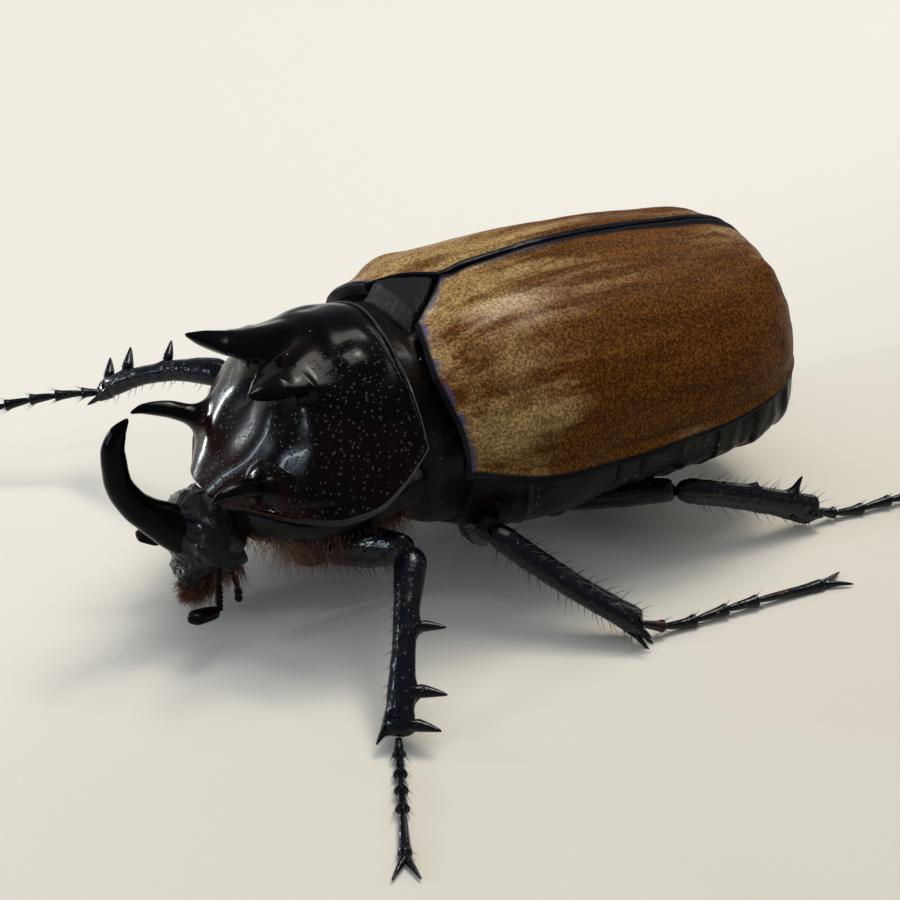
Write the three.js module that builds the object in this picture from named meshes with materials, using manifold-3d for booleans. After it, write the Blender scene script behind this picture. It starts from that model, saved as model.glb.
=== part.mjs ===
// A rhinoceros beetle of the five-horned kind, life size, standing on a floor.
// Millimetres, +Z up, head towards -Y, the beetle's left towards +X.
// Shapes are worked out in the body's own frame: its origin is on the midline at the base of the
// wing cases, level with their side margins. The last lines move the whole to rest on z = 0.

import * as THREE from "three";
import { mergeVertices } from "three/addons/utils/BufferGeometryUtils.js";
import Module from "manifold-3d";

const wasm = await Module();
wasm.setup();

// ---- Driving dimensions -------------------------------------------------------------------

const GAP = 0.3; // clearance between neighbouring pieces
const FLOOR_Z = -14.0; // floor below the body's origin

const ELYTRA_LENGTH = 36.9;
const ELYTRA_PARALLEL = 20; // where the sides start to round in
const ELYTRA_FALL = 27; // where the crown starts to fall
const ELYTRA_SHELL = 1.0;
const ELYTRA_BASE = -0.7; // the rolled-down edge behind the pronotum
const ELYTRA_SHOULDER = 1.2; // how much further forward that edge reaches at the shoulder
const ELYTRA_SQUARENESS = [[-1.9, 2.6], [1, 2.6], [11, 2.3], [20, 2.2], [28, 2.1], [37, 2.2]]; // 2: ellipse
const ELYTRA_WIDTH = [
  [-1.9, 11.3], [-0.7, 11.8], [0.4, 12.2], [2, 12.9], [6, 13.6], [12, 13.9], [20, 13.7],
];
const ELYTRA_CROWN = [
  [-1.9, 10.4], [-0.7, 10.9], [0.4, 11.3], [2, 11.8], [6.7, 12.5], [14, 12.9], [21, 12.55], [27, 11.9],
  [37, 11.0],
];
const ELYTRA_MARGIN = [[-0.8, 0.3], [8, -1.4], [16, -1.4], [25, -0.9], [37, 0.0]];
const CALLUS = { x: 6.2, y: 32.2, reach: 2.6, height: 0.45 }; // knob before each wing case's end
const SHOULDER_KNOB = { x: 9.0, y: 3.2, reach: 2.6, height: 0.35 };
const NOTCH_LENGTH = 4.3; // where the scutellum parts the wing cases
const NOTCH_SHARE = 2 / 9; // share of the surface's columns that the notch cuts

const SCUTELLUM = { base: -1.2, halfWidth: 3.8, bulge: 0.5, thickness: 0.8 };
const SCUTELLUM_HEIGHT = [[0, 11.3], [0.4, 11.7], [1, 12.0]];

const PRONOTUM_SIDE = [ // share from rear to front, then x, y, z of the side rim
  [0, 11.2, -3.7, 3.6], [0.2, 12.0, -6.2, 1.5], [0.4, 12.3, -8.8, 0.1], [0.55, 11.9, -11.3, -0.3],
  [0.72, 9.5, -14.1, -0.6], [0.87, 6.3, -16.0, -1.0], [1, 3.0, -17.8, -1.5],
];
const PRONOTUM_TOP = [ // the same share, then x, y, z of the midline
  [0, 0, -3.2, 10.6], [0.14, 0, -5.0, 10.9], [0.3, 0, -7.2, 10.8], [0.42, 0, -9.0, 10.1],
  [0.55, 0, -11.2, 8.2], [0.7, 0, -13.7, 4.9], [0.85, 0, -16.3, 1.6], [1, 0, -18.5, -1.2],
];
const PRONOTUM_SQUARENESS = [[0, 1.7], [0.15, 1.75], [0.4, 1.9], [0.7, 2.2], [1, 2.1]];
const PRONOTUM_RIM = 0.5; // thickness of the shield's edge
const PRONOTUM_FLOOR = 1.3; // how much deeper the underside lies at the middle of the rear
const SWELLS = [ // of the shield, on both sides
  { x: 5.4, y: -9.8, reach: 3.6, height: 0.5 }, // under each rear horn
  { x: 6.4, y: -14.3, reach: 2.4, height: 0.7 }, // under each front horn
  { x: 0, y: -13.6, reach: 5.0, height: -0.6 }, // the hollow between the four horns
];

// Horns: share of the length, then x, y, z of the axis, then half thickness across and upright.
const HEAD_HORN = [
  [0, 0, -19.3, -4.9, 2.3, 2.3], [0.14, 0, -20.9, -4.2, 1.75, 2.0], [0.3, 0, -22.6, -2.9, 1.35, 1.5],
  [0.45, 0, -24.2, -1.1, 1.2, 1.25], [0.6, 0, -25.2, 1.2, 1.1, 1.1], [0.77, 0, -25.35, 3.6, 0.95, 1.0],
  [0.9, 0, -24.85, 5.2, 0.7, 0.75], [1, 0, -23.85, 6.4, 0.16, 0.16],
];
const REAR_HORN = [
  [0, 4.9, -8.6, 7.0, 1.9, 2.4], [0.3, 5.3, -10.8, 7.4, 1.8, 2.2], [0.62, 5.6, -13.3, 8.1, 1.3, 1.5],
  [0.85, 5.8, -15.1, 8.8, 0.7, 0.75], [1, 6.0, -16.3, 9.1, 0.16, 0.16],
];
const FRONT_HORN = [
  [0, 5.9, -13.4, 0.6, 1.5, 1.8], [0.3, 6.7, -15.9, 1.7, 1.1, 1.3], [0.6, 7.4, -18.0, 2.4, 0.85, 0.95],
  [0.85, 7.9, -19.7, 2.5, 0.5, 0.55], [1, 8.1, -20.7, 2.1, 0.16, 0.16],
];

// Trunk: share of the length, then y, half width, crown z, widest z, lowest z.
const MESOTHORAX = [
  [0, -2.85, 8.8, 9.9, 0.6, -7.0], [0.4, -1.3, 9.4, 9.9, 0.3, -8.2], [1, 1.2, 9.6, 9.6, 0.0, -9.0],
];
const METATHORAX = [
  [0, 1.55, 9.8, 9.2, 0, -9.0], [0.3, 4.5, 11.5, 10.4, -1.4, -9.7], [0.7, 10, 12.2, 10.8, -1.8, -9.7],
  [1, 14.0, 12.2, 10.8, -1.8, -9.0],
];
const ABDOMEN = [
  [0, 14.35, 12.3, 10.6, -1.8, -8.9], [0.4, 22, 12.4, 10.2, -2.0, -8.6], [0.68, 28, 12.2, 9.2, -2.3, -7.9],
  [0.87, 32.0, 10.8, 7.0, -2.6, -7.2], [1, 34.4, 8.8, 4.8, -2.9, -6.6],
];
const PYGIDIUM = [
  [0, 34.75, 8.3, 1.6, -3.3, -6.6], [0.5, 35.8, 6.8, 0.9, -3.1, -5.8], [1, 36.6, 4.2, -0.6, -3.0, -4.9],
];
const PROSTERNUM = [ // below the pronotum
  [0, -16.2, 5.4, -2.4, -3.4, -6.0], [0.1, -15.0, 7.9, -2.0, -2.7, -6.4],
  [0.28, -13.0, 9.5, -1.8, -2.5, -6.8], [0.6, -9.0, 10.2, -1.0, -2.0, -7.2],
  [1, -3.2, 9.6, 0.6, -1.0, -7.4],
];

// Head: share from the neck to the lip, then y, z, half width, half height, pitch in degrees.
const HEAD = [
  [0, -16.7, -5.2, 4.4, 3.4, 20], [0.3, -18.0, -5.7, 4.7, 3.4, 35], [0.62, -19.1, -7.1, 3.3, 2.3, 55],
  [1, -20.4, -9.2, 1.8, 0.6, 66],
];
const EYE = { x: 4.6, y: -17.6, z: -5.2, radius: 1.25 };
// Small parts of the head, as tapers: share, then x, y, z, and two half thicknesses.
const MOUTH = [
  [0, 0, -18.0, -8.6, 2.2, 1.3], [0.6, 0, -19.2, -10.2, 1.8, 1.0], [1, 0, -20.0, -11.2, 0.9, 0.5],
];
const PALP = [
  [0, 2.5, -17.4, -7.8, 0.3, 0.3], [0.45, 3.0, -17.0, -9.2, 0.28, 0.28], [0.8, 3.1, -16.9, -10.6, 0.42, 0.36],
  [1, 3.0, -16.9, -11.2, 0.25, 0.25],
];
const ANTENNA_STALK = 0.3; // half thickness
const ANTENNA_CLUB = [[0, 0.3, 0.35], [0.25, 0.62, 0.5], [0.8, 0.7, 0.5], [1, 0.35, 0.3]];
const ANTENNAE = { // where each springs from the head, bends and ends
  left: { root: [3.4, -18.6, -6.6], bend: [4.6, -19.3, -10.4], tip: [5.6, -22.4, -9.6] },
  right: { root: [-3.4, -18.6, -6.6], bend: [-5.0, -20.1, -8.8], tip: [-5.9, -22.0, -7.8] },
};

// Legs: hip, knee, ankle and toe, then the way its teeth point. Left legs carry +x.
const LEGS = {
  fore_left: {
    hip: [4.5, -11.2, -6.8], knee: [13.1, -6.2, -3.9], ankle: [23.6, -13.3, -12.7],
    toe: [35.0, -19.0, FLOOR_Z], teethTo: [0.45, 0.85, 0.2], kind: "fore",
  },
  fore_right: {
    hip: [-4.5, -11.2, -6.8], knee: [-15.2, -8.6, -0.8], ankle: [-27.2, -16.6, -6.0],
    toe: [-33.6, -29.5, -9.0], teethTo: [-0.7, 0.5, 0.55], kind: "fore",
  },
  mid_left: {
    hip: [5.0, 4.6, -9.4], knee: [12.0, 1.4, -4.9], ankle: [21.0, 10.6, -12.1],
    toe: [22.3, 29.4, FLOOR_Z], teethTo: [0.85, -0.5, 0.2], kind: "mid",
  },
  mid_right: {
    hip: [-5.0, 4.6, -9.4], knee: [-12.2, 2.4, -4.9], ankle: [-20.6, 10.8, -12.2],
    toe: [-25.5, 27.5, FLOOR_Z], teethTo: [-0.85, -0.5, 0.2], kind: "mid",
  },
  hind_left: {
    hip: [4.6, 12.2, -9.2], knee: [12.3, 19.9, -6.8], ankle: [13.9, 34.3, -12.5],
    toe: [16.2, 52.0, FLOOR_Z], teethTo: [-0.08, 0.37, 0.92], kind: "hind",
  },
  hind_right: {
    hip: [-4.6, 12.2, -9.2], knee: [-12.0, 19.6, -7.2], ankle: [-17.4, 32.4, -12.5],
    toe: [-23.2, 48.6, FLOOR_Z], teethTo: [0.08, 0.37, 0.92], kind: "hind",
  },
};
const COXA = { across: 2.2, along: 1.7, upright: 1.7 };
// Half sizes along femur and tibia: share, then in the plane of the teeth and across it.
const FEMUR = {
  fore: [[0, 1.0, 1.0], [0.15, 1.5, 1.3], [0.55, 1.75, 1.35], [0.9, 1.35, 1.1], [1, 0.9, 0.8]],
  mid: [[0, 1.0, 1.0], [0.15, 1.5, 1.25], [0.5, 1.75, 1.3], [0.9, 1.3, 1.05], [1, 0.9, 0.8]],
  hind: [[0, 1.0, 1.0], [0.15, 1.4, 1.2], [0.5, 1.35, 1.25], [0.9, 1.1, 1.0], [1, 0.9, 0.8]],
};
const TIBIA = {
  fore: [
    [0, 0.7, 0.7], [0.1, 1.2, 1.0], [0.4, 0.85, 0.75], [0.7, 0.85, 0.7], [0.92, 1.0, 0.75], [1, 0.7, 0.6],
  ],
  mid: [
    [0, 0.6, 0.6], [0.12, 1.05, 0.95], [0.4, 1.15, 0.9], [0.8, 1.2, 0.9], [0.95, 1.3, 0.9], [1, 1.1, 0.7],
  ],
  hind: [
    [0, 0.6, 0.6], [0.12, 1.0, 0.9], [0.4, 0.95, 0.8], [0.8, 1.05, 0.85], [0.95, 1.2, 0.9], [1, 1.0, 0.7],
  ],
};
const TIBIA_BOW = { fore: 1.2, mid: -0.5, hind: 0.3 }; // how far its middle stands above a straight line
// Teeth and spurs: share along the tibia, length from its axis, half width, swing from the tooth
// side in degrees round the tibia, lean towards the foot in degrees.
const TEETH = {
  fore: [
    [0.49, 3.2, 0.5, 0, -4], [0.8, 3.6, 0.55, 0, 0], [0.94, 3.3, 0.55, 0, 6], [0.9, 2.7, 0.4, 180, 60],
  ],
  mid: [
    [0.6, 1.7, 0.4, 0, 35], [0.93, 2.6, 0.45, 0, 55], [0.9, 3.4, 0.42, 75, 70], [0.94, 2.7, 0.42, 35, 72],
  ],
  hind: [
    [0.5, 1.5, 0.4, 0, 20], [0.8, 2.8, 0.5, 0, 4], [0.8, 2.9, 0.5, 180, 68], [0.9, 2.2, 0.4, 110, 70],
  ],
};
const TOOTH_SEAT = 0.35; // how far from the tibia's axis a tooth starts
const TARSUS_JOINTS = [0, 0.12, 0.29, 0.45, 0.61, 1]; // where its five lengths meet
const TARSUS_RADIUS = { narrow: 0.34, wide: 0.56 };
const SOLE = 0.36; // the foot's axis above the floor at its end, so a small flat is cut there
const CLAW = { length: 2.6, radius: 0.3, spread: 24 };

const COLOURS = {
  black: { color: 0x0b0a0c, roughness: 0.22, metalness: 0 },
  brown: { color: 0x6a4a25, roughness: 0.32, metalness: 0 },
  amber: { color: 0x3a1c10, roughness: 0.4, metalness: 0 },
  eye: { color: 0x060506, roughness: 0.1, metalness: 0 },
};

// ---- Curves and closed forms --------------------------------------------------------------

const { clamp, degToRad, lerp } = THREE.MathUtils;

/** Smooth value at t through keys [t, value, ...]; it never swings past a key. */
function along(keys, t, column = 1) {
  const last = keys.length - 1;
  if (t <= keys[0][0]) return keys[0][column];
  if (t >= keys[last][0]) return keys[last][column];
  const rise = (k) => (keys[k + 1][column] - keys[k][column]) / (keys[k + 1][0] - keys[k][0]);
  const slope = (k) => {
    if (k === 0) return rise(0);
    if (k === last) return rise(last - 1);
    const before = rise(k - 1);
    const after = rise(k);
    return before * after <= 0 ? 0 : (2 * before * after) / (before + after);
  };
  let i = 0;
  while (t > keys[i + 1][0]) i += 1;
  const width = keys[i + 1][0] - keys[i][0];
  const s = (t - keys[i][0]) / width;
  const ease = s * s * (3 - 2 * s);
  const start = slope(i) * width * s * (1 - s) ** 2;
  const end = slope(i + 1) * width * s * s * (s - 1);
  return lerp(keys[i][column], keys[i + 1][column], ease) + start + end;
}

/** The point at t through keys [t, x, y, z, ...]. */
const pointAlong = (keys, t) => new THREE.Vector3(along(keys, t, 1), along(keys, t, 2), along(keys, t, 3));

/** Signed power, which squares a circle into a superellipse. */
const bulge = (value, squareness) => Math.sign(value) * Math.abs(value) ** (2 / squareness);

/** A round swelling of the given height about x, y. */
function swell(knob, x, y) {
  const distance = Math.hypot(x - knob.x, y - knob.y) / knob.reach;
  return distance < 1 ? knob.height * Math.cos((distance * Math.PI) / 2) ** 2 : 0;
}

/** Outward unit normal of a surface(u, v), from two short steps on it. */
function normalOf(surface, u, v) {
  const step = 1e-3;
  const uMid = clamp(u, step, 1 - step);
  const vMid = clamp(v, step, 1 - step);
  const du = surface(uMid + step, vMid).sub(surface(uMid - step, vMid));
  const dv = surface(uMid, vMid + step).sub(surface(uMid, vMid - step));
  return du.cross(dv).normalize();
}

/** Moves each vertex of a three.js geometry by map(point), and keeps only the positions. */
function mapped(geometry, map) {
  const position = geometry.attributes.position;
  for (let i = 0; i < position.count; i += 1) {
    const point = map(new THREE.Vector3().fromBufferAttribute(position, i));
    position.setXYZ(i, point.x, point.y, point.z);
  }
  geometry.deleteAttribute("normal");
  geometry.deleteAttribute("uv");
  return mergeVertices(geometry, 1e-4);
}

/** A closed plate between outer(u, v) and inner(u, v), which share their edge directions. */
function plate(outer, inner, uSteps, vSteps) {
  return mapped(new THREE.BoxGeometry(1, 1, 1, uSteps, vSteps, 1), (p) => {
    const u = p.x + 0.5;
    const v = p.y + 0.5;
    return p.z > 0 ? outer(u, v) : inner(u, v);
  });
}

/** A closed form whose rings follow path(t); section(t, a, b) gives the two offsets. */
function loft(path, sideways, section, around, steps) {
  const step = 1e-3;
  return mapped(new THREE.CylinderGeometry(1, 1, 1, around, steps), (p) => {
    const t = p.y + 0.5;
    const tangent = path(Math.min(t + step, 1)).sub(path(Math.max(t - step, 0))).normalize();
    const side = sideways.clone().addScaledVector(tangent, -sideways.dot(tangent)).normalize();
    const other = side.clone().cross(tangent);
    const [a, b] = section(t, p.x, p.z);
    return path(t).addScaledVector(side, a).addScaledVector(other, b);
  });
}

/** A loft through keys [t, x, y, z, half size along sideways, half size across]. */
function taper(keys, sideways, around, steps) {
  const section = (t, a, b) => [a * along(keys, t, 4), b * along(keys, t, 5)];
  return loft((t) => pointAlong(keys, t), sideways, section, around, steps);
}

/** The same form on the other side of the body. */
function mirrored(geometry) {
  const copy = geometry.clone().scale(-1, 1, 1);
  const index = copy.index.array;
  for (let i = 0; i < index.length; i += 3) [index[i], index[i + 1]] = [index[i + 1], index[i]];
  return copy;
}

function toManifold(geometry) {
  const vertProperties = new Float32Array(geometry.attributes.position.array);
  const triVerts = new Uint32Array(geometry.index.array);
  return new wasm.Manifold(new wasm.Mesh({ numProp: 3, vertProperties, triVerts }));
}

function toGeometry(manifold) {
  const mesh = manifold.getMesh();
  const geometry = new THREE.BufferGeometry();
  geometry.setAttribute("position", new THREE.BufferAttribute(new Float32Array(mesh.vertProperties), 3));
  geometry.setIndex(new THREE.BufferAttribute(new Uint32Array(mesh.triVerts), 1));
  return geometry;
}

/** Joins several closed forms, then cuts others away. */
function carve(joined, removed = []) {
  let form = toManifold(joined[0]);
  for (const piece of joined.slice(1)) form = form.add(toManifold(piece));
  for (const piece of removed) form = form.subtract(toManifold(piece));
  return toGeometry(form);
}

const X_AXIS = new THREE.Vector3(1, 0, 0);
const UPRIGHT = new THREE.Vector3(0, 0, 1);

// ---- The named pieces ---------------------------------------------------------------------

const beetle = new THREE.Group();

function addPiece(name, geometry, finish) {
  const piece = new THREE.Mesh(geometry, new THREE.MeshStandardMaterial(COLOURS[finish]));
  piece.name = name;
  beetle.add(piece);
}

function addPair(name, geometry, finish) {
  addPiece(`${name}_left`, geometry, finish);
  addPiece(`${name}_right`, mirrored(geometry), finish);
}

// Wing cases

/** Half width and height of the wing cases at y, with the round fall to their end. */
function elytraSection(y) {
  const sideFall = Math.max(0, (y - ELYTRA_PARALLEL) / (ELYTRA_LENGTH + 0.1 - ELYTRA_PARALLEL));
  const crownFall = Math.max(0, (y - ELYTRA_FALL) / (ELYTRA_LENGTH + 0.1 - ELYTRA_FALL));
  const margin = along(ELYTRA_MARGIN, y);
  const width = along(ELYTRA_WIDTH, y) * (1 - sideFall ** 2.5) ** 0.4;
  const height = (along(ELYTRA_CROWN, y) - margin) * (1 - crownFall ** 3) ** 0.45;
  return { width, height, margin };
}

/** A point on a wing case: column from the seam to the side margin, v from base to end. */
function elytronPoint(column, v) {
  const u = column ** 1.2;
  const forward = ELYTRA_SHOULDER * Math.sin(Math.PI * u) ** 2;
  const start = ELYTRA_BASE - forward + NOTCH_LENGTH * Math.max(0, 1 - column / NOTCH_SHARE);
  const y = start + (ELYTRA_LENGTH - start) * Math.sin((v * Math.PI) / 2) ** 1.2;
  const { width, height, margin } = elytraSection(y);
  const squareness = along(ELYTRA_SQUARENESS, y);
  const angle = (u * Math.PI) / 2;
  const across = width * bulge(Math.sin(angle), squareness);
  const up = margin + height * bulge(Math.cos(angle), squareness);
  const raised = swell(CALLUS, across, y) + swell(SHOULDER_KNOB, across, y);
  return new THREE.Vector3(GAP / 2 + across + raised * 0.5, y, up + raised);
}

/** The same point moved along the outward normal, kept on its own side of the seam. */
function elytronOffset(u, v, distance, seam) {
  const point = elytronPoint(u, v).addScaledVector(normalOf(elytronPoint, u, v), distance);
  point.x = Math.max(point.x, seam);
  return point;
}

const elytron = plate(elytronPoint, (u, v) => elytronOffset(u, v, -ELYTRA_SHELL, GAP / 2), 9, 13);
addPair("elytron", elytron, "brown");
const aroundElytron = plate(
  (u, v) => elytronOffset(u, v, 4, -0.01),
  (u, v) => elytronOffset(u, v, -ELYTRA_SHELL - GAP, -0.01),
  9,
  13,
).translate(0, 0, -GAP);
const aroundElytra = [aroundElytron, mirrored(aroundElytron)];

// Pronotum with its horns

/** A point on the shield: u from the right rim to the left, v from front to rear. */
function pronotumPoint(u, v, lift = 0) {
  const share = 1 - v;
  const angle = (u - 0.5) * Math.PI;
  const squareness = along(PRONOTUM_SQUARENESS, share);
  const side = pointAlong(PRONOTUM_SIDE, share);
  const top = pointAlong(PRONOTUM_TOP, share);
  const across = bulge(Math.sin(angle), squareness);
  const up = bulge(Math.cos(angle), squareness);
  const point = new THREE.Vector3(
    (side.x + lift) * across,
    lerp(side.y, top.y, up) - lift * (share - 0.5),
    lerp(side.z, top.z + lift, up),
  );
  for (const knob of SWELLS) point.z += up * swell(knob, Math.abs(point.x), point.y);
  return point;
}

/** The shield's underside, a dish below its rim that deepens to the rear. */
function pronotumUnder(u, v, lift = 0) {
  const rim = pronotumPoint(u > 0.5 ? 1 : 0, v, lift);
  const across = Math.sin((u - 0.5) * Math.PI);
  const depth = PRONOTUM_RIM + PRONOTUM_FLOOR * v * (1 - across * across) + lift;
  return new THREE.Vector3(Math.abs(rim.x) * across, rim.y, rim.z - depth);
}

const pronotum = plate(pronotumPoint, (u, v) => pronotumUnder(u, v), 14, 10);
const aroundPronotum = plate(
  (u, v) => pronotumPoint(u, v, GAP),
  (u, v) => pronotumUnder(u, v, GAP),
  14,
  10,
);
addPiece("pronotum", pronotum, "black");
addPair("horn_rear", carve([taper(REAR_HORN, X_AXIS, 8, 7)], [aroundPronotum]), "black");
addPair("horn_front", carve([taper(FRONT_HORN, X_AXIS, 8, 7)], [aroundPronotum]), "black");

// Trunk

/** A barrel from front to rear through keys [t, y, half width, crown z, widest z, lowest z]. */
function barrel(keys, squareness, around, steps, grow = 0) {
  return mapped(new THREE.CylinderGeometry(1, 1, 1, around, steps), (p) => {
    const t = p.y + 0.5;
    const [y, halfWidth, crown, widest, lowest] = [1, 2, 3, 4, 5].map((column) => along(keys, t, column));
    const reach = (p.z > 0 ? crown - widest : widest - lowest) + grow;
    return new THREE.Vector3(
      (halfWidth + grow) * bulge(p.x, squareness),
      y + 2 * grow * p.y,
      widest + reach * bulge(p.z, squareness),
    );
  });
}

const TRUNK = {
  prosternum: { keys: PROSTERNUM, squareness: 1.7, around: 16, steps: 5, cutBy: [aroundPronotum] },
  mesothorax: { keys: MESOTHORAX, squareness: 2.2, around: 16, steps: 2, cutBy: aroundElytra },
  metathorax: { keys: METATHORAX, squareness: 2.3, around: 16, steps: 3, cutBy: aroundElytra },
  abdomen: { keys: ABDOMEN, squareness: 2.3, around: 16, steps: 6, cutBy: aroundElytra },
  pygidium: { keys: PYGIDIUM, squareness: 2.2, around: 12, steps: 2, cutBy: aroundElytra },
};
const aroundTrunk = [];
for (const [name, { keys, squareness, around, steps, cutBy }] of Object.entries(TRUNK)) {
  addPiece(name, carve([barrel(keys, squareness, around, steps)], cutBy), "black");
  aroundTrunk.push(barrel(keys, squareness, around, steps, GAP));
}

/** The small three-cornered plate between the wing cases. */
function scutellumPoint(u, v) {
  const y = lerp(SCUTELLUM.base, NOTCH_LENGTH + ELYTRA_BASE - GAP * 2, v);
  const across = (u - 0.5) * 2;
  const drop = 0.5 * (1 - v) * across * across;
  const halfWidth = lerp(SCUTELLUM.halfWidth, 0.1, v) + SCUTELLUM.bulge * Math.sin(Math.PI * v);
  return new THREE.Vector3(halfWidth * across, y, along(SCUTELLUM_HEIGHT, v) - drop);
}

const scutellumUnder = (u, v) => scutellumPoint(u, v).setZ(scutellumPoint(u, v).z - SCUTELLUM.thickness);
addPiece("scutellum", plate(scutellumPoint, scutellumUnder, 5, 4), "black");

// Head

/** The head capsule, its rings leaning forward along the face. */
function headForm(grow = 0) {
  return mapped(new THREE.CylinderGeometry(1, 1, 1, 14, 6), (p) => {
    const t = p.y + 0.5;
    const pitch = degToRad(along(HEAD, t, 5));
    const up = bulge(p.z, 2.3) * (along(HEAD, t, 4) + grow);
    return new THREE.Vector3(
      -bulge(p.x, 2.3) * (along(HEAD, t, 3) + grow),
      along(HEAD, t, 1) - Math.sin(pitch) * up - 2 * grow * p.y,
      along(HEAD, t, 2) + Math.cos(pitch) * up - 2 * grow * p.y,
    );
  });
}

/** A ball stretched to three half sizes about a centre. */
function ball(centre, across, lengthwise, upright) {
  return mapped(new THREE.SphereGeometry(1, 8, 6), (p) => new THREE.Vector3(
    centre[0] + p.x * across,
    centre[1] + p.y * lengthwise,
    centre[2] + p.z * upright,
  ));
}

const eyeBall = (grow) => {
  const radius = EYE.radius + grow;
  return ball([EYE.x, EYE.y, EYE.z], radius, radius, radius);
};
const aroundHead = headForm(GAP);
const headCuts = [eyeBall(GAP), mirrored(eyeBall(GAP)), aroundPronotum, aroundTrunk[0]];
addPiece("head", carve([headForm()], headCuts), "black");
addPair("eye", carve([eyeBall(0)], [aroundPronotum, aroundTrunk[0]]), "eye");
addPiece("horn_head", carve([taper(HEAD_HORN, X_AXIS, 10, 10)], [aroundHead]), "black");
addPiece("mouthparts", carve([taper(MOUTH, X_AXIS, 10, 3)], [aroundHead]), "amber");
addPair("palp", carve([taper(PALP, X_AXIS, 6, 5)], [aroundHead]), "amber");

for (const [side, { root, bend, tip }] of Object.entries(ANTENNAE)) {
  const stalk = [root, bend].map((p, i) => [i, ...p, ANTENNA_STALK, ANTENNA_STALK]);
  const [start, end] = [new THREE.Vector3(...bend), new THREE.Vector3(...tip)];
  const club = ANTENNA_CLUB.map(([t, across, thick]) => [t, ...start.clone().lerp(end, t), across, thick]);
  const form = carve([taper(stalk, X_AXIS, 6, 3), taper(club, X_AXIS, 8, 4)], [aroundHead, ...headCuts]);
  addPiece(`antenna_${side}`, form, "amber");
}

// Legs

const FLOOR_BLOCK = 10;
const floorBlock = mapped(
  new THREE.BoxGeometry(200, 200, FLOOR_BLOCK).translate(0, 0, FLOOR_Z - FLOOR_BLOCK / 2),
  (p) => p,
);

/** Keys for a taper from start to end, raised by bow at its middle. */
function limbKeys(start, end, sizes, bow, grow) {
  return sizes.map(([t, inPlane, across]) => {
    const point = start.clone().lerp(end, t);
    point.z += bow * 4 * t * (1 - t);
    return [t, ...point, inPlane + grow, across + grow];
  });
}

/** A curved thorn from root along aim, bent towards bend at its tip. */
function thorn(root, aim, bend, length, radius, around = 4, steps = 2) {
  const path = (t) => root.clone()
    .addScaledVector(aim, length * t)
    .addScaledVector(bend, length * 0.1 * t * t);
  const side = bend.clone().cross(aim).normalize();
  const thickness = (t) => radius * (1 - t) ** 0.8 + 0.07;
  return loft(path, side, (t, a, b) => [a * thickness(t), b * thickness(t)], around, steps);
}

/** The shin's closed forms: its shaft, then its teeth and spurs. */
function tibiaForms(leg, knee, ankle, grow = 0) {
  const axis = ankle.clone().sub(knee).normalize();
  const toothSide = new THREE.Vector3(...leg.teethTo);
  toothSide.addScaledVector(axis, -toothSide.dot(axis)).normalize();
  const bow = TIBIA_BOW[leg.kind];
  const shaft = taper(limbKeys(knee, ankle, TIBIA[leg.kind], bow, grow), toothSide, 7, 6);
  const thorns = TEETH[leg.kind].map(([share, length, radius, swing, lean]) => {
    const outward = toothSide.clone().applyAxisAngle(axis, degToRad(swing));
    const aim = outward.clone().multiplyScalar(Math.cos(degToRad(lean)));
    aim.addScaledVector(axis, Math.sin(degToRad(lean)));
    const root = knee.clone().lerp(ankle, share).addScaledVector(outward, TOOTH_SEAT);
    root.z += bow * 4 * share * (1 - share);
    return thorn(root, aim, axis, length - TOOTH_SEAT + grow, radius + grow);
  });
  return [shaft, ...thorns];
}

// Rings along the foot: their order as a share, then place and half thickness. Each of the
// foot's five lengths is narrow where it starts and wide where it ends.
const TARSUS_RINGS = TARSUS_JOINTS.slice(0, -1).flatMap((start, i) => {
  const length = TARSUS_JOINTS[i + 1] - start;
  return [[start, TARSUS_RADIUS.narrow], [start + 0.92 * length, TARSUS_RADIUS.wide]];
}).map(([place, radius], i, rings) => [i / (rings.length - 1), place, radius]);

function tarsusForm(ankle, toe, raised, cutBy) {
  const path = (t) => {
    const point = ankle.clone().lerp(toe, t);
    const settle = 1 - Math.min(1, t / 0.28);
    const flat = lerp(toe.z + SOLE, ankle.z, settle * settle) + 0.4 * Math.sin(Math.PI * t) ** 2;
    point.z = raised ? lerp(ankle.z, toe.z, t * t) : flat;
    return point;
  };
  const steps = TARSUS_RINGS.length - 1;
  const foot = (t) => path(along(TARSUS_RINGS, t, 1));
  const radius = (t) => along(TARSUS_RINGS, t, 2);
  const shaft = loft(foot, UPRIGHT, (t, a, b) => [a * radius(t), b * radius(t)], 5, steps);
  const heading = path(1).sub(path(0.9)).normalize();
  const down = UPRIGHT.clone().negate();
  const claws = [-1, 1].map((sign) => {
    const aim = heading.clone().applyAxisAngle(down, degToRad(CLAW.spread * sign));
    aim.z += raised ? -0.05 : 0.1;
    return thorn(foot(0.99), aim.normalize(), down, CLAW.length, CLAW.radius);
  });
  return carve([shaft, ...claws], [floorBlock, ...cutBy]);
}

for (const [name, leg] of Object.entries(LEGS)) {
  const [hip, knee, ankle, toe] = [leg.hip, leg.knee, leg.ankle, leg.toe].map((p) => new THREE.Vector3(...p));
  const femur = (grow) => taper(limbKeys(hip, knee, FEMUR[leg.kind], 0, grow), UPRIGHT, 7, 4);
  const coxa = (grow) => ball(leg.hip, COXA.across + grow, COXA.along + grow, COXA.upright + grow);
  addPiece(`coxa_${name}`, carve([coxa(0)], aroundTrunk), "black");
  addPiece(`femur_${name}`, carve([femur(0)], [coxa(GAP), ...aroundTrunk]), "black");
  addPiece(`tibia_${name}`, carve(tibiaForms(leg, knee, ankle), [femur(GAP), floorBlock]), "black");
  const aroundTibia = tibiaForms(leg, knee, ankle, GAP);
  addPiece(`tarsus_${name}`, tarsusForm(ankle, toe, toe.z > FLOOR_Z, aroundTibia), "black");
}

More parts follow.
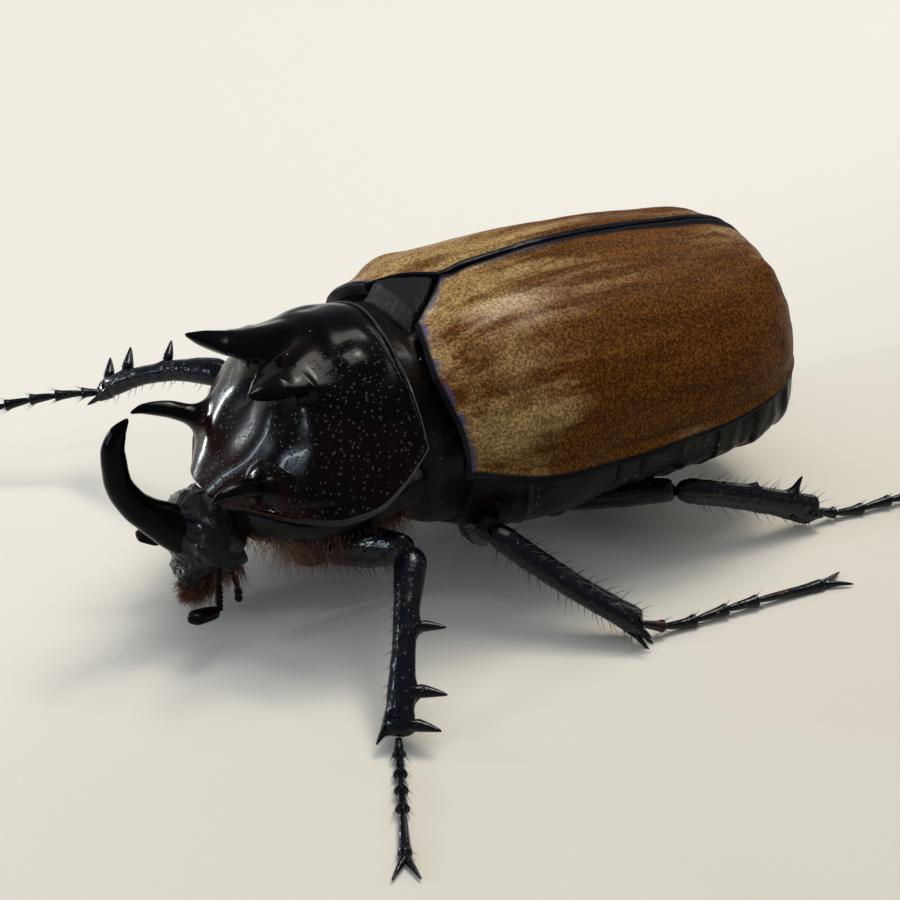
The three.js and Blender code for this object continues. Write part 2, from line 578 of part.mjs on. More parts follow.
// The whole rests on the floor, with its own origin under the middle of its box.
const bounds = new THREE.Box3().setFromObject(beetle);
const middle = bounds.getCenter(new THREE.Vector3());
beetle.position.set(-middle.x, -middle.y, -FLOOR_Z);

export default beetle;
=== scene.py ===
"""Looks for a five-horned rhinoceros beetle, life size, standing on a plain floor.

Forms are worked out in millimetres in the body's own frame: its origin is on the midline at the
base of the wing cases, level with their side margins, with the head towards -Y and the beetle's
left towards +X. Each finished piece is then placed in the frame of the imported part, in metres.
"""

from __future__ import annotations

import logging
import math
import random
from dataclasses import dataclass
from enum import Enum
from typing import Callable, Iterable, Sequence

import bmesh
import bpy
from mathutils import Matrix, Vector, noise
from mathutils.bvhtree import BVHTree


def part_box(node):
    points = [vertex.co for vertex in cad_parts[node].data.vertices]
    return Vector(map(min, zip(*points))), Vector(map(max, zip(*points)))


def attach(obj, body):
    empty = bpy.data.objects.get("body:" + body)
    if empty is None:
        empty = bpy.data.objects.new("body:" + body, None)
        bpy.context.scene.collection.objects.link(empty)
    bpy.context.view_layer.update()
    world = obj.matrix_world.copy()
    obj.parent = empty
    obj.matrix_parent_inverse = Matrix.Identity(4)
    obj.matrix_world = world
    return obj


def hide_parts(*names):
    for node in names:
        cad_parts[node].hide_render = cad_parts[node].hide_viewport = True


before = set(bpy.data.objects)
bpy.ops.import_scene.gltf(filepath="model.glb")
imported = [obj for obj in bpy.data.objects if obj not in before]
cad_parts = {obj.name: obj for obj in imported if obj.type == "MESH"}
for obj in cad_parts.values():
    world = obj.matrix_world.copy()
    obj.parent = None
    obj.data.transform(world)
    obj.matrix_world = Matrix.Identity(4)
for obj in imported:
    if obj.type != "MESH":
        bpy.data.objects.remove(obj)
LOG = logging.getLogger("beetle")

Keys = Sequence[Sequence[float]]
Surface = Callable[[float, float], Vector]

MM = 0.001
GAP = 0.3
FLOOR_Z = -14.0
SURFACE_MAP = "surface"
BAKE_MAP = "OFBake"
PATCH = 0.003  # how wide one hair's place on the unwrap is
X_AXIS = Vector((1.0, 0.0, 0.0))
UPRIGHT = Vector((0.0, 0.0, 1.0))

# ---- Named sizes, the same as the solids' -------------------------------------------------

ELYTRA_LENGTH = 36.9
ELYTRA_PARALLEL = 20.0
ELYTRA_FALL = 27.0
ELYTRA_SHELL = 0.9
ELYTRA_BASE = -0.7
ELYTRA_SHOULDER = 1.2
ELYTRA_SQUARENESS = ((-1.9, 2.6), (1, 2.6), (11, 2.3), (20, 2.2), (28, 2.1), (37, 2.2))
ELYTRA_WIDTH = ((-1.9, 11.3), (-0.7, 11.8), (0.4, 12.2), (2, 12.9), (6, 13.6), (12, 13.9), (20, 13.7))
ELYTRA_CROWN = (
    (-1.9, 10.4), (-0.7, 10.9), (0.4, 11.3), (2, 11.8), (6.7, 12.5), (14, 12.9), (21, 12.55),
    (27, 11.9), (37, 11.0),
)
ELYTRA_MARGIN = ((-0.8, 0.3), (8, -1.4), (16, -1.4), (25, -0.9), (37, 0.0))
NOTCH_LENGTH = 4.3
NOTCH_SHARE = 2 / 9

SCUTELLUM_BASE = -1.2
SCUTELLUM_HALF_WIDTH = 3.8
SCUTELLUM_HEIGHT = ((0, 11.3), (0.4, 11.7), (1, 12.0))

PRONOTUM_SIDE = (
    (0, 11.2, -3.7, 3.6), (0.2, 12.0, -6.2, 1.5), (0.4, 12.3, -8.8, 0.1), (0.55, 11.9, -11.3, -0.3),
    (0.72, 9.5, -14.1, -0.6), (0.87, 6.3, -16.0, -1.0), (1, 3.0, -17.8, -1.5),
)
PRONOTUM_TOP = (
    (0, 0, -3.2, 10.6), (0.14, 0, -5.0, 10.9), (0.3, 0, -7.2, 10.8), (0.42, 0, -9.0, 10.1),
    (0.55, 0, -11.2, 8.2), (0.7, 0, -13.7, 4.9), (0.85, 0, -16.3, 1.6), (1, 0, -18.5, -1.2),
)
PRONOTUM_SQUARENESS = ((0, 1.7), (0.15, 1.75), (0.4, 1.9), (0.7, 2.2), (1, 2.1))
PRONOTUM_RIM = 0.5
PRONOTUM_FLOOR = 1.3

HEAD_HORN = (
    (0, 0, -19.3, -4.9, 2.3, 2.3), (0.14, 0, -20.9, -4.2, 1.75, 2.0), (0.3, 0, -22.6, -2.9, 1.35, 1.5),
    (0.45, 0, -24.2, -1.1, 1.2, 1.25), (0.6, 0, -25.2, 1.2, 1.1, 1.1), (0.77, 0, -25.35, 3.6, 0.95, 1.0),
    (0.9, 0, -24.85, 5.2, 0.7, 0.75), (1, 0, -23.85, 6.4, 0.16, 0.16),
)
SHIELD_HORN_REAR = (
    (0, 3.0, -8.4, 6.4, 2.2, 0.9), (0.2, 3.1, -9.8, 7.5, 2.8, 1.0), (0.42, 3.4, -11.5, 8.3, 2.8, 1.0),
    (0.68, 4.3, -13.3, 8.35, 2.0, 1.0), (0.86, 5.3, -15.0, 8.7, 1.0, 0.7), (1, 6.0, -16.3, 9.1, 0.13, 0.13),
)
SHIELD_HORN_FRONT = (
    (0, 5.9, -13.4, 0.3, 1.2, 1.0), (0.3, 6.7, -15.9, 1.3, 1.05, 0.85), (0.6, 7.4, -18.0, 2.1, 0.85, 0.72),
    (0.85, 7.9, -19.7, 2.3, 0.5, 0.45), (1, 8.1, -20.7, 2.1, 0.12, 0.12),
)

# Trunk: share of the length, then y, half width, crown z, widest z, lowest z.
MESOTHORAX = (
    (0, -2.85, 8.8, 9.9, 0.6, -7.0), (0.4, -1.3, 9.4, 9.9, 0.3, -8.2), (1, 1.4, 9.6, 9.6, 0.0, -9.0),
)
METATHORAX = (
    (0, 1.3, 9.8, 9.2, 0, -9.0), (0.3, 4.5, 11.5, 10.4, -1.4, -9.7), (0.7, 10, 12.2, 10.8, -1.8, -9.7),
    (1, 14.2, 12.2, 10.8, -1.8, -9.0),
)
ABDOMEN = (
    (0, 14.1, 12.3, 10.6, -1.8, -8.9), (0.4, 22, 12.4, 10.2, -2.0, -8.6),
    (0.68, 28, 12.2, 9.2, -2.3, -7.9), (0.87, 32.0, 10.8, 7.0, -2.6, -7.2), (1, 34.5, 8.8, 4.8, -2.9, -6.6),
)
PYGIDIUM = (
    (0, 34.2, 8.5, 1.6, -3.3, -6.6), (0.5, 35.6, 6.9, 0.9, -3.1, -5.8), (1, 36.6, 4.2, -0.6, -3.0, -4.9),
)
PROSTERNUM = (
    (0, -16.2, 5.2, -1.6, -2.6, -6.0), (0.1, -15.0, 7.7, -1.0, -1.9, -6.4),
    (0.28, -13.0, 9.6, -0.8, -1.6, -6.8), (0.6, -9.0, 10.7, 0.0, -1.2, -7.2),
    (1, -3.0, 9.8, 1.8, -0.2, -7.4),
)

# Head: share from the neck to the lip, then y, z, half width, half height, pitch in degrees.
HEAD = (
    (0, -16.7, -5.2, 4.4, 3.4, 20), (0.3, -18.0, -5.7, 4.7, 3.4, 35), (0.62, -19.1, -7.1, 3.3, 2.3, 55),
    (1, -20.4, -9.2, 1.8, 0.6, 66),
)
EYE_CENTRE = (4.6, -17.6, -5.2)
EYE_RADIUS = 1.25
MOUTH = ((0, 0, -18.0, -8.6, 2.2, 1.3), (0.6, 0, -19.2, -10.2, 1.8, 1.0), (1, 0, -20.0, -11.2, 0.9, 0.5))
PALP = (
    (0, 2.5, -17.4, -7.8, 0.3, 0.3), (0.45, 3.0, -17.0, -9.2, 0.28, 0.28),
    (0.8, 3.1, -16.9, -10.6, 0.42, 0.36), (1, 3.0, -16.9, -11.2, 0.25, 0.25),
)
ANTENNAE = {
    "left": ((3.4, -18.6, -6.6), (4.6, -19.3, -10.4), (5.6, -22.4, -9.6)),
    "right": ((-3.4, -18.6, -6.6), (-5.0, -20.1, -8.8), (-5.9, -22.0, -7.8)),
}

TARSUS_JOINTS = (0.0, 0.12, 0.29, 0.45, 0.61, 1.0)
SOLE = 0.36


# ---- Curves --------------------------------------------------------------------------------


def clamp(value: float, low: float = 0.0, high: float = 1.0) -> float:
    """Keeps a value between two limits."""
    return max(low, min(high, value))


def lerp(a: float, b: float, share: float) -> float:
    """The value at a share of the way from a to b."""
    return a + (b - a) * share


def ease(low: float, high: float, value: float) -> float:
    """A smooth step from 0 at low to 1 at high."""
    share = clamp((value - low) / (high - low))
    return share * share * (3 - 2 * share)


def hump(value: float, centre: float, reach: float) -> float:
    """A bell of height 1 about centre."""
    return math.exp(-(((value - centre) / reach) ** 2))


def along(keys: Keys, t: float, column: int = 1) -> float:
    """Smooth value at t through keys, which never swings past a key.

    Args:
        keys: rows of (t, value, ...).
        t: where to read.
        column: which value of the rows.

    Returns:
        The value.
    """
    last = len(keys) - 1
    if t <= keys[0][0]:
        return keys[0][column]
    if t >= keys[last][0]:
        return keys[last][column]
    i = 0
    while t > keys[i + 1][0]:
        i += 1

    def rise(k: int) -> float:
        """Slope of the straight line from key k to the next."""
        return (keys[k + 1][column] - keys[k][column]) / (keys[k + 1][0] - keys[k][0])

    def slope(k: int) -> float:
        """Slope of the curve at key k."""
        if k in (0, last):
            return rise(min(k, last - 1))
        before, after = rise(k - 1), rise(k)
        return 0.0 if before * after <= 0 else 2 * before * after / (before + after)

    width = keys[i + 1][0] - keys[i][0]
    s = (t - keys[i][0]) / width
    start = slope(i) * width * s * (1 - s) ** 2
    end = slope(i + 1) * width * s * s * (s - 1)
    return lerp(keys[i][column], keys[i + 1][column], s * s * (3 - 2 * s)) + start + end


def bulge(value: float, squareness: float) -> float:
    """Signed power, which squares a circle into a superellipse."""
    return math.copysign(abs(value) ** (2 / squareness), value)


@dataclass(frozen=True)
class Swelling:
    """A round swelling, or with a negative height a dip, on both sides of the body."""

    x: float
    y: float
    reach: float
    height: float

    def at(self, x: float, y: float) -> float:
        """Its height at a place."""
        distance = math.hypot(abs(x) - self.x, y - self.y) / self.reach
        return self.height * math.cos(distance * math.pi / 2) ** 2 if distance < 1 else 0.0


ELYTRA_SWELLS = (Swelling(6.2, 32.2, 2.6, 0.45), Swelling(9.0, 3.2, 2.6, 0.35))
PRONOTUM_SWELLS = (
    Swelling(5.4, -9.8, 3.6, 0.4), Swelling(6.4, -14.3, 2.4, 0.2), Swelling(0, -14.4, 4.0, -0.6),
    Swelling(2.2, -11.3, 3.1, 1.15), Swelling(5.3, -6.3, 2.3, 0.35),
)


# ---- Meshes in the making --------------------------------------------------------------------


class Form:
    """A mesh in the making, in the body's own frame, with each corner's place on its surface."""

    def __init__(self) -> None:
        """Starts an empty mesh with a map of its surface."""
        self.bm = bmesh.new()
        self.bm.loops.layers.uv.new(SURFACE_MAP)

    @property
    def surface_map(self) -> bmesh.types.BMLayerItem:
        """The map that holds each corner's place on the surface."""
        return self.bm.loops.layers.uv[SURFACE_MAP]

    def places(self) -> dict[bmesh.types.BMVert, tuple[float, float]]:
        """Each vertex's place on the surface, as its map gives it."""
        layer = self.surface_map
        return {vert: tuple(vert.link_loops[0][layer].uv) for vert in self.bm.verts if vert.link_loops}

    @classmethod
    def sheet(cls, point: Surface, columns: int, rows: int) -> "Form":
        """An open sheet laid on a surface.

        Args:
            point: the surface, for u and v from 0 to 1.
            columns: faces along u.
            rows: faces along v.

        Returns:
            The form.
        """
        form = cls()
        bmesh.ops.create_grid(form.bm, x_segments=columns, y_segments=rows, size=0.5, calc_uvs=True)
        for vert in form.bm.verts:
            vert.co = point(clamp(vert.co.x + 0.5), clamp(vert.co.y + 0.5))
        return form

    @classmethod
    def plate(cls, outer: Surface, inner: Surface, columns: int, rows: int, rounding: float = 0.1) -> "Form":
        """A closed plate between two surfaces that share their edge directions.

        Args:
            outer: the outer surface.
            inner: the inner surface.
            columns: faces along u.
            rows: faces along v.
            rounding: how far the outer edge is bevelled.

        Returns:
            The form.
        """
        form = cls()
        bm = form.bm
        bmesh.ops.create_grid(bm, x_segments=columns, y_segments=rows, size=0.5, calc_uvs=True)
        border = [edge for edge in bm.edges if edge.is_boundary]
        copied = bmesh.ops.duplicate(bm, geom=bm.verts[:] + bm.edges[:] + bm.faces[:])["geom"]
        under = {item for item in copied if isinstance(item, bmesh.types.BMVert)}
        lower_border = [e for e in copied if isinstance(e, bmesh.types.BMEdge) and e.is_boundary]
        for vert in bm.verts:
            surface = inner if vert in under else outer
            vert.co = surface(clamp(vert.co.x + 0.5), clamp(vert.co.y + 0.5))
        bmesh.ops.reverse_faces(bm, faces=[f for f in copied if isinstance(f, bmesh.types.BMFace)])
        made = bmesh.ops.bridge_loops(bm, edges=border + lower_border)
        form.carry_map(made["faces"])
        if rounding > 0:
            bmesh.ops.bevel(
                bm, geom=border, offset=rounding, offset_type="OFFSET", segments=2, profile=0.5,
                affect="EDGES", material=-1,
            )
        return form

    def carry_map(self, faces: Iterable[bmesh.types.BMFace]) -> None:
        """Gives new faces the surface places of the faces beside them."""
        layer = self.surface_map
        fresh = set(faces)
        for face in fresh:
            for loop in face.loops:
                for other in loop.vert.link_loops:
                    if other.face not in fresh:
                        loop[layer].uv = other[layer].uv
                        break

    @classmethod
    def ball(cls, point: Surface, around: int, rings: int) -> "Form":
        """A closed form whose rings run from one pole to the other.

        Args:
            point: the surface, for u round a ring and v from pole to pole.
            around: faces round a ring.
            rings: rings of faces.

        Returns:
            The form.
        """
        form = cls()
        bm = form.bm
        bmesh.ops.create_uvsphere(bm, u_segments=around, v_segments=rings, radius=1.0, calc_uvs=True)
        layer = form.surface_map
        place: dict[bmesh.types.BMVert, tuple[float, float]] = {}
        for vert in bm.verts:
            u = (math.atan2(vert.co.y, vert.co.x) / math.tau) % 1.0
            place[vert] = (u, math.acos(clamp(-vert.co.z, -1.0, 1.0)) / math.pi)
        for face in bm.faces:
            middle = (math.atan2(face.calc_center_median().y, face.calc_center_median().x) / math.tau) % 1.0
            for loop in face.loops:
                u, v = place[loop.vert]
                if 0.001 < v < 0.999:
                    u += 1.0 if middle - u > 0.5 else (-1.0 if u - middle > 0.5 else 0.0)
                else:
                    u = middle
                loop[layer].uv = (u, v)
        for vert, (u, v) in place.items():
            vert.co = point(u, v)
        return form

    def emboss(self, relief: Callable[[float, float, Vector], float]) -> "Form":
        """Raises each vertex along its normal.

        Args:
            relief: the height at a place on the surface and a point in space.

        Returns:
            This form.
        """
        self.bm.normal_update()
        raised = {
            vert: vert.co + vert.normal * relief(u, v, vert.co) for vert, (u, v) in self.places().items()
        }
        for vert, place in raised.items():
            vert.co = place
        return self

    def join(self, *others: "Form") -> "Form":
        """Takes other forms into this one."""
        for other in others:
            mesh = bpy.data.meshes.new("joined")
            other.bm.to_mesh(mesh)
            self.bm.from_mesh(mesh)
            bpy.data.meshes.remove(mesh)
            other.bm.free()
        return self

    def mirrored(self) -> "Form":
        """The same form on the other side of the body."""
        copy = Form.__new__(Form)
        copy.bm = self.bm.copy()
        bmesh.ops.transform(copy.bm, matrix=Matrix.Scale(-1, 4, X_AXIS), verts=copy.bm.verts)
        bmesh.ops.reverse_faces(copy.bm, faces=copy.bm.faces)
        return copy

    def above_floor(self) -> "Form":
        """Flattens whatever reaches below the floor, as a foot's sole rests."""
        for vert in self.bm.verts:
            vert.co.z = max(vert.co.z, FLOOR_Z + 0.02)
        return self

    def tree(self) -> BVHTree:
        """A search tree of the form's faces."""
        return BVHTree.FromBMesh(self.bm)


def normal_at(surface: Surface, u: float, v: float) -> Vector:
    """Outward unit normal of a surface, from two short steps on it."""
    step = 1e-3
    u, v = clamp(u, step, 1 - step), clamp(v, step, 1 - step)
    across = surface(u + step, v) - surface(u - step, v)
    onward = surface(u, v + step) - surface(u, v - step)
    return across.cross(onward).normalized()


@dataclass(frozen=True)
class Taper:
    """A rounded form along a curve, through keys (t, x, y, z, half size sideways, half size across)."""

    keys: Keys
    sideways: Vector
    root_round: float = 0.05
    tip_round: float = 0.05
    squareness: float = 2.0

    def axis(self, t: float) -> Vector:
        """The axis at share t of the length."""
        return Vector((along(self.keys, t, 1), along(self.keys, t, 2), along(self.keys, t, 3)))

    def basis(self, t: float) -> tuple[Vector, Vector, Vector]:
        """The side direction, the other direction and the tangent at t."""
        step = 1e-3
        tangent = (self.axis(min(t + step, 1)) - self.axis(max(t - step, 0))).normalized()
        side = (self.sideways - tangent * self.sideways.dot(tangent)).normalized()
        return side, tangent.cross(side), tangent

    def point(self, u: float, v: float) -> Vector:
        """A point on the skin: u round the axis, v along it, denser near both ends."""
        t = 0.5 - 0.5 * math.cos(math.pi * v)
        side, other, _ = self.basis(t)
        full = 1.0
        if t < self.root_round:
            full = math.sqrt(max(0.0, 1 - (1 - t / self.root_round) ** 2))
        elif t > 1 - self.tip_round:
            full = math.sqrt(max(0.0, 1 - (1 - (1 - t) / self.tip_round) ** 2))
        a = bulge(math.cos(math.tau * u), self.squareness) * along(self.keys, t, 4) * full
        b = bulge(math.sin(math.tau * u), self.squareness) * along(self.keys, t, 5) * full
        return self.axis(t) + side * a + other * b

    def form(self, around: int, rings: int) -> Form:
        """The closed form."""
        return Form.ball(self.point, around, rings)


def depth_outside(tree: BVHTree, place: Vector) -> tuple[float, Vector]:
    """How far a place lies outside a closed form, and the direction straight away from it."""
    near, normal, _, distance = tree.find_nearest(place)
    away = place - near
    if distance < 1e-5:
        return 0.0, normal
    sign = 1.0 if away.dot(normal) >= 0 else -1.0
    return sign * distance, away.normalized() * sign


def grow_together(form: Form, own: BVHTree, other: BVHTree, radius: float) -> None:
    """Lets a form run into another with a smooth fillet, as horn grows out of a shell.

    Each form that meets there is treated so in turn. Past the seam the form sinks just below
    the other one.

    Args:
        form: the form to move.
        own: the form's faces before either was moved.
        other: the other form's faces before either was moved.
        radius: how far from the seam the fillet reaches.
    """
    for vert in form.bm.verts:
        start, _ = depth_outside(other, vert.co)
        if not -0.5 * radius < start < radius:
            continue
        place = vert.co.copy()
        for _ in range(5):
            mine, my_way = depth_outside(own, place)
            theirs, their_way = depth_outside(other, place)
            share = clamp(0.5 + 0.5 * (theirs - mine) / radius)
            gap = lerp(theirs, mine, share) - radius * share * (1 - share)
            way = their_way.lerp(my_way, share)
            if way.length < 1e-6:
                break
            way.normalize()
            place -= way * gap
        if start < 0:
            place -= way * (0.02 - start) * 0.12
        vert.co = place


# ---- Shader maths ------------------------------------------------------------------------------


class Value:
    """One number that varies over a surface, so that shader maths reads as plain sums."""

    def __init__(self, shader: "Shader", socket: bpy.types.NodeSocket) -> None:
        """Wraps a socket of a shader's tree."""
        self.shader = shader
        self.socket = socket

    def __add__(self, other: "Link") -> "Value":
        """The sum."""
        return self.shader.math("ADD", self, other)

    __radd__ = __add__

    def __sub__(self, other: "Link") -> "Value":
        """The difference."""
        return self.shader.math("SUBTRACT", self, other)

    def __rsub__(self, other: "Link") -> "Value":
        """The difference the other way round."""
        return self.shader.math("SUBTRACT", other, self)

    def __mul__(self, other: "Link") -> "Value":
        """The product."""
        return self.shader.math("MULTIPLY", self, other)

    __rmul__ = __mul__

    def __neg__(self) -> "Value":
        """The value with its sign changed."""
        return self * -1.0

    def __abs__(self) -> "Value":
        """The size without its sign."""
        return self.shader.math("ABSOLUTE", self)

    def above(self, low: float, high: float) -> "Value":
        """A smooth step from 0 at low to 1 at high, or the other way where low is the larger."""
        settings = {"interpolation_type": "SMOOTHSTEP"}
        first, last = (low, high) if low < high else (high, low)
        values = {0: self, 1: first, 2: last, 3: 0.0, 4: 1.0} if low < high else {
            0: self, 1: first, 2: last, 3: 1.0, 4: 0.0,
        }
        return Value(self.shader, self.shader.node("ShaderNodeMapRange", settings, values).outputs[0])

    def or_more(self, other: "Link") -> "Value":
        """The larger of the two."""
        return self.shader.math("MAXIMUM", self, other)

    def or_less(self, other: "Link") -> "Value":
        """The smaller of the two."""
        return self.shader.math("MINIMUM", self, other)


Link = Value | bpy.types.NodeSocket | float | Sequence[float]
Colour = tuple[float, float, float]


class Shader:
    """A material in the making on one Principled shader."""

    def __init__(self, name: str, **constants: Link) -> None:
        """Starts the material.

        Args:
            name: the material's name.
            constants: plain values of the shader's own sockets, such as coat_roughness=0.1.
        """
        self.material = bpy.data.materials.new(name)
        self.material.use_nodes = True
        self.tree = self.material.node_tree
        self.tree.nodes.clear()
        self.principled = self.node("ShaderNodeBsdfPrincipled")
        self.node("ShaderNodeOutputMaterial", values={0: self.principled.outputs[0]})
        self.feed(**constants)
        shift = tuple(-x for x in PLACE.offset)
        where = self.node("ShaderNodeTexCoord").outputs["Object"]
        scaled = {0: where, 1: (1 / MM,) * 3, 2: shift}
        self.place = self.node("ShaderNodeVectorMath", {"operation": "MULTIPLY_ADD"}, scaled).outputs[0]

    def node(
        self, kind: str, settings: dict[str, object] | None = None, values: dict[object, Link] | None = None
    ) -> bpy.types.Node:
        """Adds a node.

        Args:
            kind: the node's type.
            settings: its settings, set first; "stops" holds a ramp's (place, colour) pairs.
            values: the values or links of its sockets, by name or index.

        Returns:
            The node.
        """
        made = self.tree.nodes.new(kind)
        for name, setting in (settings or {}).items():
            if name == "stops":
                for i, (place, colour) in enumerate(setting):
                    ramp = made.color_ramp.elements
                    stop = ramp[i] if i < len(ramp) else ramp.new(place)
                    stop.position = place
                    stop.color = (*colour, 1.0)
            else:
                setattr(made, name, setting)
        for socket, value in (values or {}).items():
            self.connect(made.inputs[socket], value)
        return made

    def connect(self, socket: bpy.types.NodeSocket, value: Link) -> None:
        """Links or sets one input socket."""
        if isinstance(value, Value):
            value = value.socket
        if isinstance(value, bpy.types.NodeSocket):
            self.tree.links.new(value, socket)
        elif hasattr(socket.default_value, "__len__"):
            size = len(socket.default_value)
            numbers = tuple(value) if isinstance(value, (tuple, list, Vector)) else (value,) * 3
            socket.default_value = (*numbers, 1.0)[:size] if len(numbers) < size else numbers
        else:
            socket.default_value = value

    def feed(self, **values: Link) -> None:
        """Sets or links sockets of the Principled shader, named as base_color or coat_weight."""
        for name, value in values.items():
            title = " ".join(word.upper() if word == "ior" else word.capitalize() for word in name.split("_"))
            self.connect(self.principled.inputs[title], value)

    def math(self, operation: str, *values: Link) -> Value:
        """A Math node on one or two values."""
        made = self.node("ShaderNodeMath", {"operation": operation}, dict(enumerate(values)))
        return Value(self, made.outputs[0])

    def mix(self, share: Link, first: Link, second: Link) -> bpy.types.NodeSocket:
        """A colour between two."""
        settings = {"data_type": "RGBA", "clamp_factor": True}
        return self.node("ShaderNodeMix", settings, {0: share, 6: first, 7: second}).outputs[2]

    def stretched(self, x: float, y: float, z: float, place: Link | None = None) -> bpy.types.NodeSocket:
        """The place on the piece, scaled along each axis."""
        values = {0: place or self.place, 1: (x, y, z)}
        return self.node("ShaderNodeVectorMath", {"operation": "MULTIPLY"}, values).outputs[0]

    def wobbled(self, place: Link, scale: float, amount: float) -> bpy.types.NodeSocket:
        """A place pushed about by noise, so that a pattern on it wanders."""
        colour = self.node("ShaderNodeTexNoise", values={"Vector": place, "Scale": scale}).outputs["Color"]
        values = {0: colour, 1: (amount,) * 3, 2: place}
        return self.node("ShaderNodeVectorMath", {"operation": "MULTIPLY_ADD"}, values).outputs[0]

    def noise(self, scale: float, detail: float = 2.0, rough: float = 0.5, place: Link | None = None) -> Value:
        """Cloudy noise, about 0.5 on average; scale is in lumps per millimetre."""
        values = {"Vector": place or self.place, "Scale": scale, "Detail": detail, "Roughness": rough}
        return Value(self, self.node("ShaderNodeTexNoise", values=values).outputs[0])

    def cells(self, scale: float, place: Link | None = None, feature: str = "F1") -> Value:
        """Distance to the nearest of many scattered points; scale is in points per millimetre."""
        values = {"Vector": place or self.place, "Scale": scale}
        made = self.node("ShaderNodeTexVoronoi", {"feature": feature}, values)
        return Value(self, made.outputs["Distance"])

    def surface(self) -> tuple[Value, Value]:
        """The place on the piece's own surface map."""
        where = self.node("ShaderNodeUVMap", {"uv_map": SURFACE_MAP}).outputs[0]
        parts = self.node("ShaderNodeSeparateXYZ", values={0: where})
        return Value(self, parts.outputs[0]), Value(self, parts.outputs[1])

    def xyz(self) -> tuple[Value, Value, Value]:
        """The place on the piece in the body's frame, in millimetres."""
        parts = self.node("ShaderNodeSeparateXYZ", values={0: self.place})
        return tuple(Value(self, parts.outputs[i]) for i in range(3))

    def bump(self, height: Link, depth: float, strength: float = 1.0) -> bpy.types.NodeSocket:
        """A bump; depth is in millimetres for a height of 1."""
        values = {"Height": height, "Distance": depth * MM, "Strength": strength}
        return self.node("ShaderNodeBump", values=values).outputs[0]


@dataclass(frozen=True)
class Placement:
    """Where the body's own frame stands in the part's frame."""

    offset: Vector

    @classmethod
    def found(cls) -> "Placement":
        """Reads it from the left wing case's box."""
        low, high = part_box("elytron_left")
        return cls(Vector((low[0] / MM - GAP / 2, high[1] / MM - ELYTRA_LENGTH, -FLOOR_Z)))

    def into_part(self, point: Vector) -> Vector:
        """A point of the body's frame, in the part's frame."""
        return (point + self.offset) * MM


PLACE = Placement.found()


# ---- Finishes ------------------------------------------------------------------------------------


@dataclass(frozen=True)
class WingCaseFinish:
    """Brown, finely pitted horn with dark borders, which gets smoother towards the rear."""

    # The cases' own golden tone, also laid on as a painted highlight at the base and on the seam side
    gold: Colour = (0.360, 0.225, 0.085)
    tan: Colour = (0.125, 0.045, 0.0065)
    rust: Colour = (0.102, 0.034, 0.0035)
    ground: Colour = (0.038, 0.0115, 0.0018)
    border: Colour = (0.003, 0.003, 0.005)
    # Painted reflection: blue colour for the sky reflected along the base edge
    haze: Colour = (0.035, 0.040, 0.095)

    def build(self) -> bpy.types.Material:
        """Makes the material."""
        s = Shader("wing_case", ior=1.5, coat_roughness=0.30, coat_ior=1.5, specular_ior_level=0.03)
        u, v = s.surface()
        zones = s.noise(0.16, 4.0, 0.6, s.stretched(1.0, 0.45, 1.0))
        streaks = s.noise(0.8, 3.0, 0.55, s.stretched(1.0, 0.12, 1.0)).above(0.44, 0.64)
        smooth = v.above(0.72, 0.95)
        worms = s.noise(4.6, 3.0, 0.6, s.wobbled(s.place, 1.8, 0.5))
        flecks = (worms - 0.05 * streaks - 0.03 * u.above(0.4, 0.6)).above(0.38, 0.58)
        flecks = flecks * (1 - 0.75 * smooth) + 0.75 * smooth
        # Painted highlight: the gold patches are pushed lighter near the base and darker towards the side margin; the
        # rest of their spread is the cases' own tone at random
        front = v.above(0.42, 0.08)
        gold = (zones + 0.26 * front - 0.10 * u.above(0.45, 0.75) - 0.11 * streaks).above(0.48, 0.82)
        colour = s.mix(gold, self.tan, self.gold)
        colour = s.mix(smooth * 0.7, colour, self.rust)
        colour = s.mix(1 - flecks, colour, s.mix(gold * 0.3, self.ground, self.gold))
        x, y, z = s.xyz()
        seam = (abs(x) - 0.018 * y).above(0.85, 0.45)
        edge = seam.or_more(u.above(0.981, 0.989)).or_more(v.above(0.022, 0.014))
        # Painted reflection: a thin blue band along the base edge, broken up by noise
        colour = s.mix(v.above(0.032, 0.023) * s.noise(0.7, 2.0).above(0.35, 0.6) * 0.9, colour, self.haze)
        colour = s.mix(edge, colour, self.border)
        fine = s.noise(5.0, 2.0)
        height = 0.5 * flecks + 0.3 * fine
        s.feed(
            base_color=colour,
            roughness=0.42 - 0.14 * flecks + 0.10 * zones - 0.02 * smooth,
            coat_weight=0.015 + 0.22 * gold,
            normal=s.bump(height, 0.045),
        )
        return s.material


